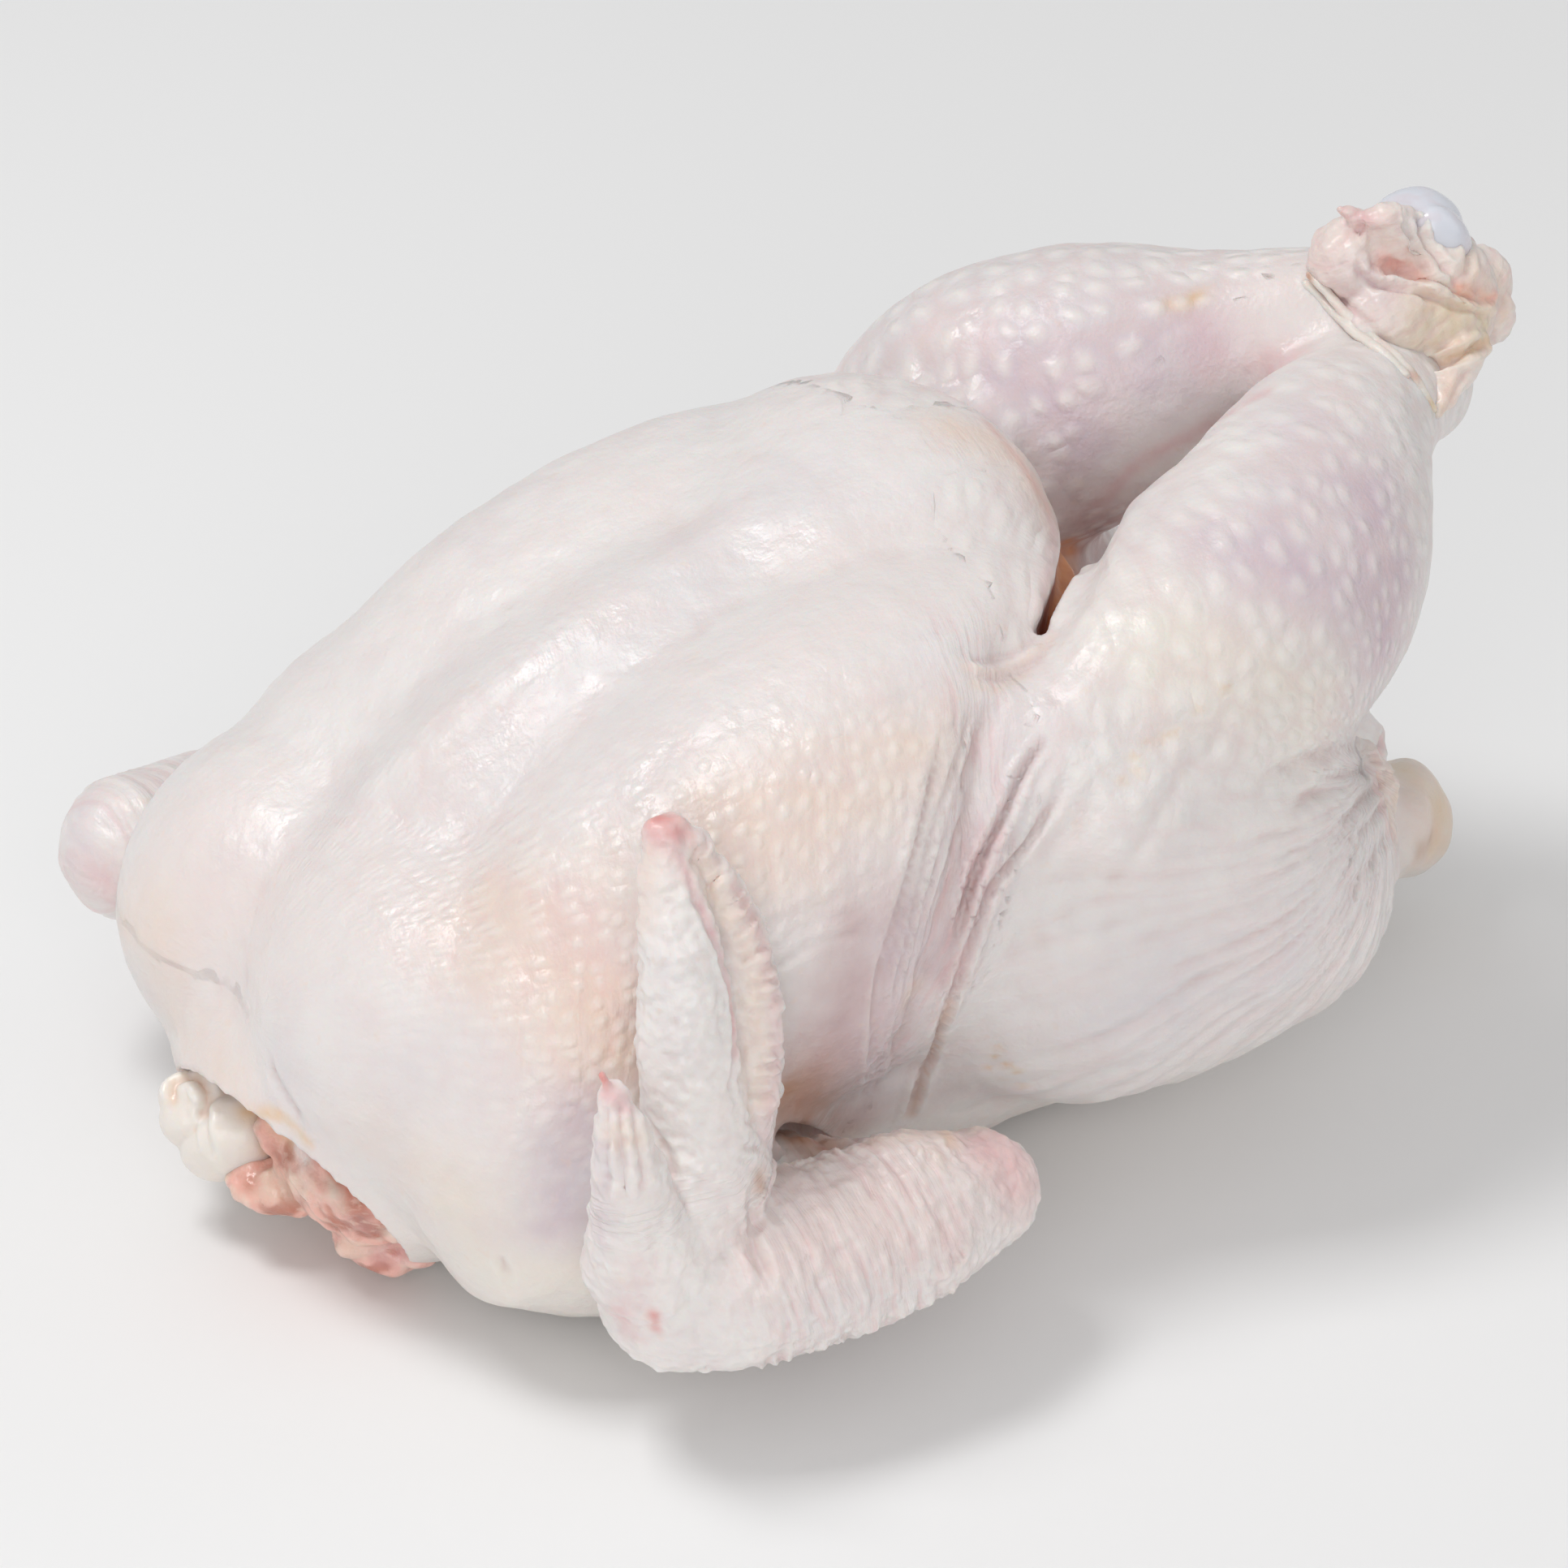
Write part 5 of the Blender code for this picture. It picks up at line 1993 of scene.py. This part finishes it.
HOCK_FOLDS = (
    Fold(
        ((1684, 318), (1690, 336), (1720, 346), (1745, 350), (1770, 357), (1803, 368), (1842, 381)),
        0.8, -1.3, 0.8,
    ),
    Fold(((1682, 300), (1700, 290), (1730, 292), (1756, 306), (1775, 335)), 0.8, -0.7, 0.3),
    Fold(((1700, 322), (1726, 334), (1748, 340)), 1.0, 1.4, 0.2),
    Fold(((1798, 356), (1818, 366), (1842, 369)), 0.9, 1.4, 0.2),
    Fold(((1808, 300), (1812, 330), (1800, 345)), 1.0, 1.2, 0.3),
    Fold(((1730, 446), (1767, 450), (1803, 436), (1833, 420)), 0.9, 1.6, 0.5),
    Fold(((1682, 276), (1671, 287)), 0.8, 0.8, 0.3),
    Fold(((1748, 262), (1754, 290), (1775, 322), (1800, 338)), 0.9, 1.2, 0.4),
    Fold(((1620, 345), (1655, 375), (1690, 408), (1725, 440)), 0.9, 0.6, 0.3),
    Fold(((1812, 450), (1795, 480), (1782, 505)), 0.7, 0.5, 0.3),
)

HOCK_PATCHES = (
    Patch(((1700, 305), (1745, 315)), 3.5, Tone.PALE, 0.55),
    Patch(((1700, 305), (1745, 315)), 3.5, Tone.PEACH, 0.50),
    Patch(((1704, 322), (1726, 333), (1746, 341)), 1.9, Tone.RAW, 0.95),
    Patch(((1800, 356), (1818, 363), (1842, 366)), 1.7, Tone.RAW, 1.0),
    Patch(((1815, 320), (1825, 345)), 3.0, Tone.PEACH, 0.60),
    Patch(((1750, 385), (1800, 395), (1830, 405)), 4.5, Tone.STRAW, 0.75),
    Patch(((1740, 425), (1790, 425)), 3.5, Tone.STRAW, 0.50),
    Patch(((1652, 262), (1685, 268)), 2.2, Tone.BLUSH, 0.55),
    Patch(((1640, 360), (1660, 385)), 2.6, Tone.BLUSH, 0.55),
    Patch(((1620, 300), (1650, 330)), 5.0, Tone.ROSE, 0.50),
    Patch(((1690, 345), (1720, 380)), 5.0, Tone.LILAC, 0.30),
    Patch(((1730, 270), (1740, 275)), 3.0, Tone.CREAM, 0.60),
    Patch(((1790, 470), (1778, 505)), 2.2, Tone.PEACH, 0.80),
    Patch(((1850, 340), (1852, 390)), 2.5, Tone.PEACH, 0.50),
    Patch(((1767, 450), (1803, 436), (1833, 420)), 0.9, Tone.STAIN, 0.50),
)


@dataclass
class Strap:
    """The rolled edge of the cut skin, which runs over both hocks in two strands."""

    radius: float = 0.0009
    voxel: float = 0.00028
    strands: tuple[tuple[Spot, ...], ...] = (
        ((1614, 338), (1628, 352), (1657, 384), (1693, 417), (1726, 446), (1750, 476), (1766, 504)),
        ((1610, 350), (1636, 376), (1668, 408), (1705, 436), (1732, 462)),
    )

    def front_of(self, pixel: Spot, pieces: tuple[Clay, ...]) -> Vector:
        """The place nearest the camera that a pixel shows on any of the pieces.

        Args:
            pixel: Column and row in the photograph.
            pieces: The surfaces to look at.

        Returns:
            The place.
        """
        start, way = VIEW.ray(pixel)
        hits = [piece.tree.ray_cast(start, way)[0] for piece in pieces]
        seen = [hit for hit in hits if hit is not None] or [pieces[0].seen_at(pixel)]
        return min(seen, key=lambda place: (place - start).length)

    def build(self, trunk: Clay, cuff: Clay) -> Clay:
        """Models the strap on the skin.

        Args:
            trunk: The legs' skin.
            cuff: The skin round the hocks.

        Returns:
            Its surface, sculpted and coloured.
        """
        limbs = []
        for strand in self.strands:
            places = [self.front_of(pixel, (trunk, cuff)) for pixel in strand]
            radii = self.radius * (0.75 + 0.35 * np.sin(np.linspace(0.6, 2.8, len(places))))
            stations = tuple((*place, float(radius)) for place, radius in zip(places, radii))
            limbs.append(Limb(stations, 0.85))
        clay = Clay(fuse("hock_strap", limbs, self.voxel, 3))
        clay.mould(0.0025, 0.0002, 12)
        clay.write()
        clay.wash(Tone.STRAW, 0.35)
        clay.wash(Tone.PALE, 0.30)
        work_all(clay, STRAP_PATCHES)
        x, _, z = clay.points.T
        clay.keep_skin(flow_of(z, x), 0.0, 0.6)
        return clay


STRAP_PATCHES = (
    Patch(((1612, 342),), 1.3, Tone.UMBER, 0.9),
    Patch(((1742, 463),), 1.4, Tone.UMBER, 0.7),
    Patch(((1766, 500),), 2.0, Tone.STAIN, 0.6),
)


@dataclass
class NeckFlesh:
    """The cut stump of the neck, in uneven lumps."""

    voxel: float = 0.0004

    def build(self) -> Clay:
        """Models the stump.

        Returns:
            Its surface, sculpted and coloured.
        """
        masses = [
            Mass((-0.001, -0.007, 0.028), (0.013, 0.019, 0.012)),
            photo_mass(352, 1392, 0.001, (0.0050, 0.0050, 0.0046)),
            photo_mass(372, 1422, -0.003, (0.0046, 0.0040, 0.0040)),
            photo_mass(352, 1462, 0.000, (0.0076, 0.0060, 0.0044), (0, 0, -30)),
            photo_mass(312, 1458, 0.003, (0.0040, 0.0040, 0.0038)),
            photo_mass(405, 1466, -0.006, (0.0036, 0.0030, 0.0032)),
            photo_mass(430, 1470, -0.008, (0.0050, 0.0060, 0.0050)),
            photo_mass(450, 1512, -0.013, (0.0056, 0.0050, 0.0050)),
            photo_mass(484, 1514, -0.017, (0.0036, 0.0028, 0.0034)),
            photo_mass(482, 1536, -0.015, (0.0066, 0.0060, 0.0038)),
            photo_mass(520, 1538, -0.020, (0.0040, 0.0040, 0.0026)),
        ]
        clay = Clay(fuse("neck_flesh_cut", masses, self.voxel, 3))
        clay.mould(0.0055, 0.0009, 1)
        clay.write()
        clay.mould(0.0024, 0.0006, 3)
        clay.write()
        clay.lay_out()
        clay.wash(Tone.RAW, 0.85)
        # Painted shade and light: where the moulded relief sinks, the flesh is tinted rust, and where it
        # rises, peach; then the hollows get painted rust shade and the crests painted light.
        hollows = clay.grain(clay.points / 0.0055, 1) + 0.5 * clay.grain(clay.points / 0.0024, 3)
        clay.tint_by(0.75 * rise(-hollows, 0.12, 0.45), Tone.RUST)
        clay.tint_by(0.60 * rise(hollows, 0.10, 0.45), Tone.PEACH)
        clay.paint_hollow_shade_and_crest_light(4, 0.00030, Tone.RUST, 0.6)
        work_all(clay, STUMP_PATCHES)
        clay.keep_tone()
        return clay


STUMP_PATCHES = (
    Patch(((340, 1376), (362, 1400)), 2.2, Tone.STAIN, 0.55),
    Patch(((366, 1412), (378, 1432)), 1.6, Tone.CREAM, 0.70),
    Patch(((330, 1462), (375, 1462)), 3.0, Tone.PEACH, 0.65),
    Patch(((408, 1456), (414, 1472)), 1.6, Tone.FAT, 0.75),
    Patch(((308, 1458),), 1.6, Tone.RUST, 0.45),
    Patch(((340, 1420), (352, 1436)), 1.4, Tone.RUST, 0.60),
    # Painted shade in the dark gaps between the lumps.
    Patch(((415, 1445), (440, 1470), (440, 1492)), 2.4, Tone.RUST, 0.85),
    Patch(((446, 1510),), 2.8, Tone.PLUM, 0.50),
    Patch(((482, 1514), (486, 1520)), 1.7, Tone.FAT, 0.75),
    Patch(((470, 1545), (500, 1548)), 3.0, Tone.BLUSH, 0.50),
    Patch(((520, 1534),), 0.8, Tone.CREAM, 0.80),
)


@dataclass
class NeckFat:
    """The lump of fat beside the neck stump."""

    voxel: float = 0.0004

    def build(self) -> Clay:
        """Models the lump.

        Returns:
            Its surface, sculpted and coloured.
        """
        masses = [
            Mass((-0.010, 0.020, 0.026), (0.010, 0.009, 0.009)),
            photo_mass(292, 1400, 0.009, (0.0064, 0.0060, 0.0070)),
            photo_mass(268, 1410, 0.012, (0.0060, 0.0060, 0.0060)),
            photo_mass(238, 1376, 0.016, (0.0050, 0.0050, 0.0056)),
            photo_mass(224, 1350, 0.018, (0.0036, 0.0036, 0.0036)),
            photo_mass(252, 1352, 0.0160, (0.0042, 0.0046, 0.0042)),
            photo_mass(300, 1378, 0.0100, (0.0052, 0.0052, 0.0046)),
        ]
        clay = Clay(fuse("neck_fat_lump", masses, self.voxel, 4))
        work_all(clay, FAT_FOLDS)
        clay.write()
        clay.mould(0.005, 0.0007, 2)
        clay.write()
        clay.lay_out()
        clay.wash(Tone.FAT, 0.45)
        # Painted shade: the fat's hollows are tinted peach, and its crests are paled as painted light.
        clay.paint_hollow_shade_and_crest_light(4, 0.00030, Tone.PEACH, 0.7)
        work_all(clay, FAT_PATCHES)
        clay.keep_tone()
        return clay


FAT_RIM = ((214, 1356), (216, 1334), (240, 1329), (252, 1340), (258, 1356))

FAT_FOLDS = (
    Fold(FAT_RIM, 1.0, 1.0, 0.6),
    Fold(((258, 1350), (252, 1390), (262, 1430)), 1.0, 0.8, 0.4),
)

FAT_PATCHES = (
    Patch(((310, 1372), (335, 1385), (330, 1410)), 2.0, Tone.STAIN, 0.5),
    Patch(FAT_RIM, 0.9, Tone.PEACH, 0.8),
    Patch(((300, 1370), (330, 1374)), 1.4, Tone.STAIN, 0.4),
)


@dataclass
class Knuckle:
    """The bare gristle end of a drumstick, in two rounds."""

    name: str
    outer: Mass
    inner: Mass
    voxel: float = 0.0004

    def build(self) -> Clay:
        """Models the knuckle.

        Returns:
            Its surface.
        """
        clay = Clay(fuse(self.name, [self.outer, self.inner], self.voxel, 8))
        clay.mould(0.005, 0.0003, 4)
        clay.write()
        return clay


@dataclass
class Studio:
    """A pale floor and soft light from above."""

    floor_size: float = 6.0
    floor_tone: float = 0.90
    floor_roughness: float = 0.9
    floor_height: float = -0.0002
    sky_strength: float = 0.49
    lamps: tuple[tuple[str, Point, float, float], ...] = (
        ("key", (-0.50, 0.20, 1.25), 0.40, 6.6),
        ("fill", (-0.9, -1.5, 0.8), 1.2, 9.5),
        ("side", (1.6, -0.6, 0.9), 1.2, 2.0),
    )

    def build(self) -> None:
        """Adds the floor, the lights and the camera."""
        bpy.ops.mesh.primitive_plane_add(size=self.floor_size, location=(0, 0, self.floor_height))
        floor = bpy.context.active_object
        floor.name = "floor"
        sheet = Sheet("floor")
        sheet.shader.inputs["Base Color"].default_value = (*[self.floor_tone] * 3, 1.0)
        sheet.shader.inputs["Roughness"].default_value = self.floor_roughness
        floor.data.materials.append(sheet.material)
        for name, place, size, power in self.lamps:
            self.light(name, place, size, power)
        world = bpy.data.worlds.new("world")
        bpy.context.scene.world = world
        world.use_nodes = True
        sky = world.node_tree.nodes["Background"]
        sky.inputs["Color"].default_value = (1.0, 1.0, 1.0, 1.0)
        sky.inputs["Strength"].default_value = self.sky_strength
        VIEW.add_camera()

    def light(self, name: str, place: Point, size: float, power: float) -> None:
        """Adds a soft lamp that faces the bird.

        Args:
            name: The lamp's name.
            place: Where it hangs.
            size: Its width.
            power: Its power in watts.
        """
        data = bpy.data.lights.new(name, "AREA")
        data.size = size
        data.energy = power
        lamp = bpy.data.objects.new(name, data)
        bpy.context.scene.collection.objects.link(lamp)
        lamp.location = place
        lamp.rotation_mode = "QUATERNION"
        lamp.rotation_quaternion = Vector(place).to_track_quat("Z", "Y")


def main() -> None:
    """Builds the bird and the studio."""
    logging.basicConfig(level=logging.INFO, format="%(name)s: %(message)s")
    bpy.context.scene.view_settings.view_transform = "Standard"
    skin, flesh = SkinFinish().make(), FleshFinish().make()
    fat, gristle = FatFinish().make(), GristleFinish().make()
    trunk = Trunk().build()
    cuff = HockSkin().build()
    finish_piece(Strap().build(trunk, cuff), skin, "carcass")
    finish_piece(trunk, skin, "carcass")
    finish_piece(cuff, skin, "carcass")
    finish_piece(RightWing().build(), skin, "carcass")
    finish_piece(LeftWing().build(), skin, "carcass")
    finish_piece(NeckFlesh().build(), flesh, "neck_flesh")
    finish_piece(NeckFat().build(), fat, "neck_fat")
    upper = Knuckle(
        "left_knuckle",
        photo_mass(1747, 276, 0.003, (0.0078, 0.0066, 0.0060), (0, 15, 0)),
        photo_mass(1776, 297, -0.0016, (0.0046, 0.0044, 0.0074), (0, -32, 0)),
    )
    finish_piece(upper.build(), gristle, "left_hock_knuckle")
    lower = Knuckle(
        "right_knuckle",
        Mass((0.2010, 0.0060, 0.1120), (0.0070, 0.0066, 0.0062), (0, 20, 30)),
        Mass((0.1960, 0.0080, 0.1080), (0.0062, 0.0060, 0.0056), (0, 20, 30)),
    )
    finish_piece(lower.build(), gristle, "right_hock_knuckle")
    Studio().build()


if __name__ == "__main__":
    main()
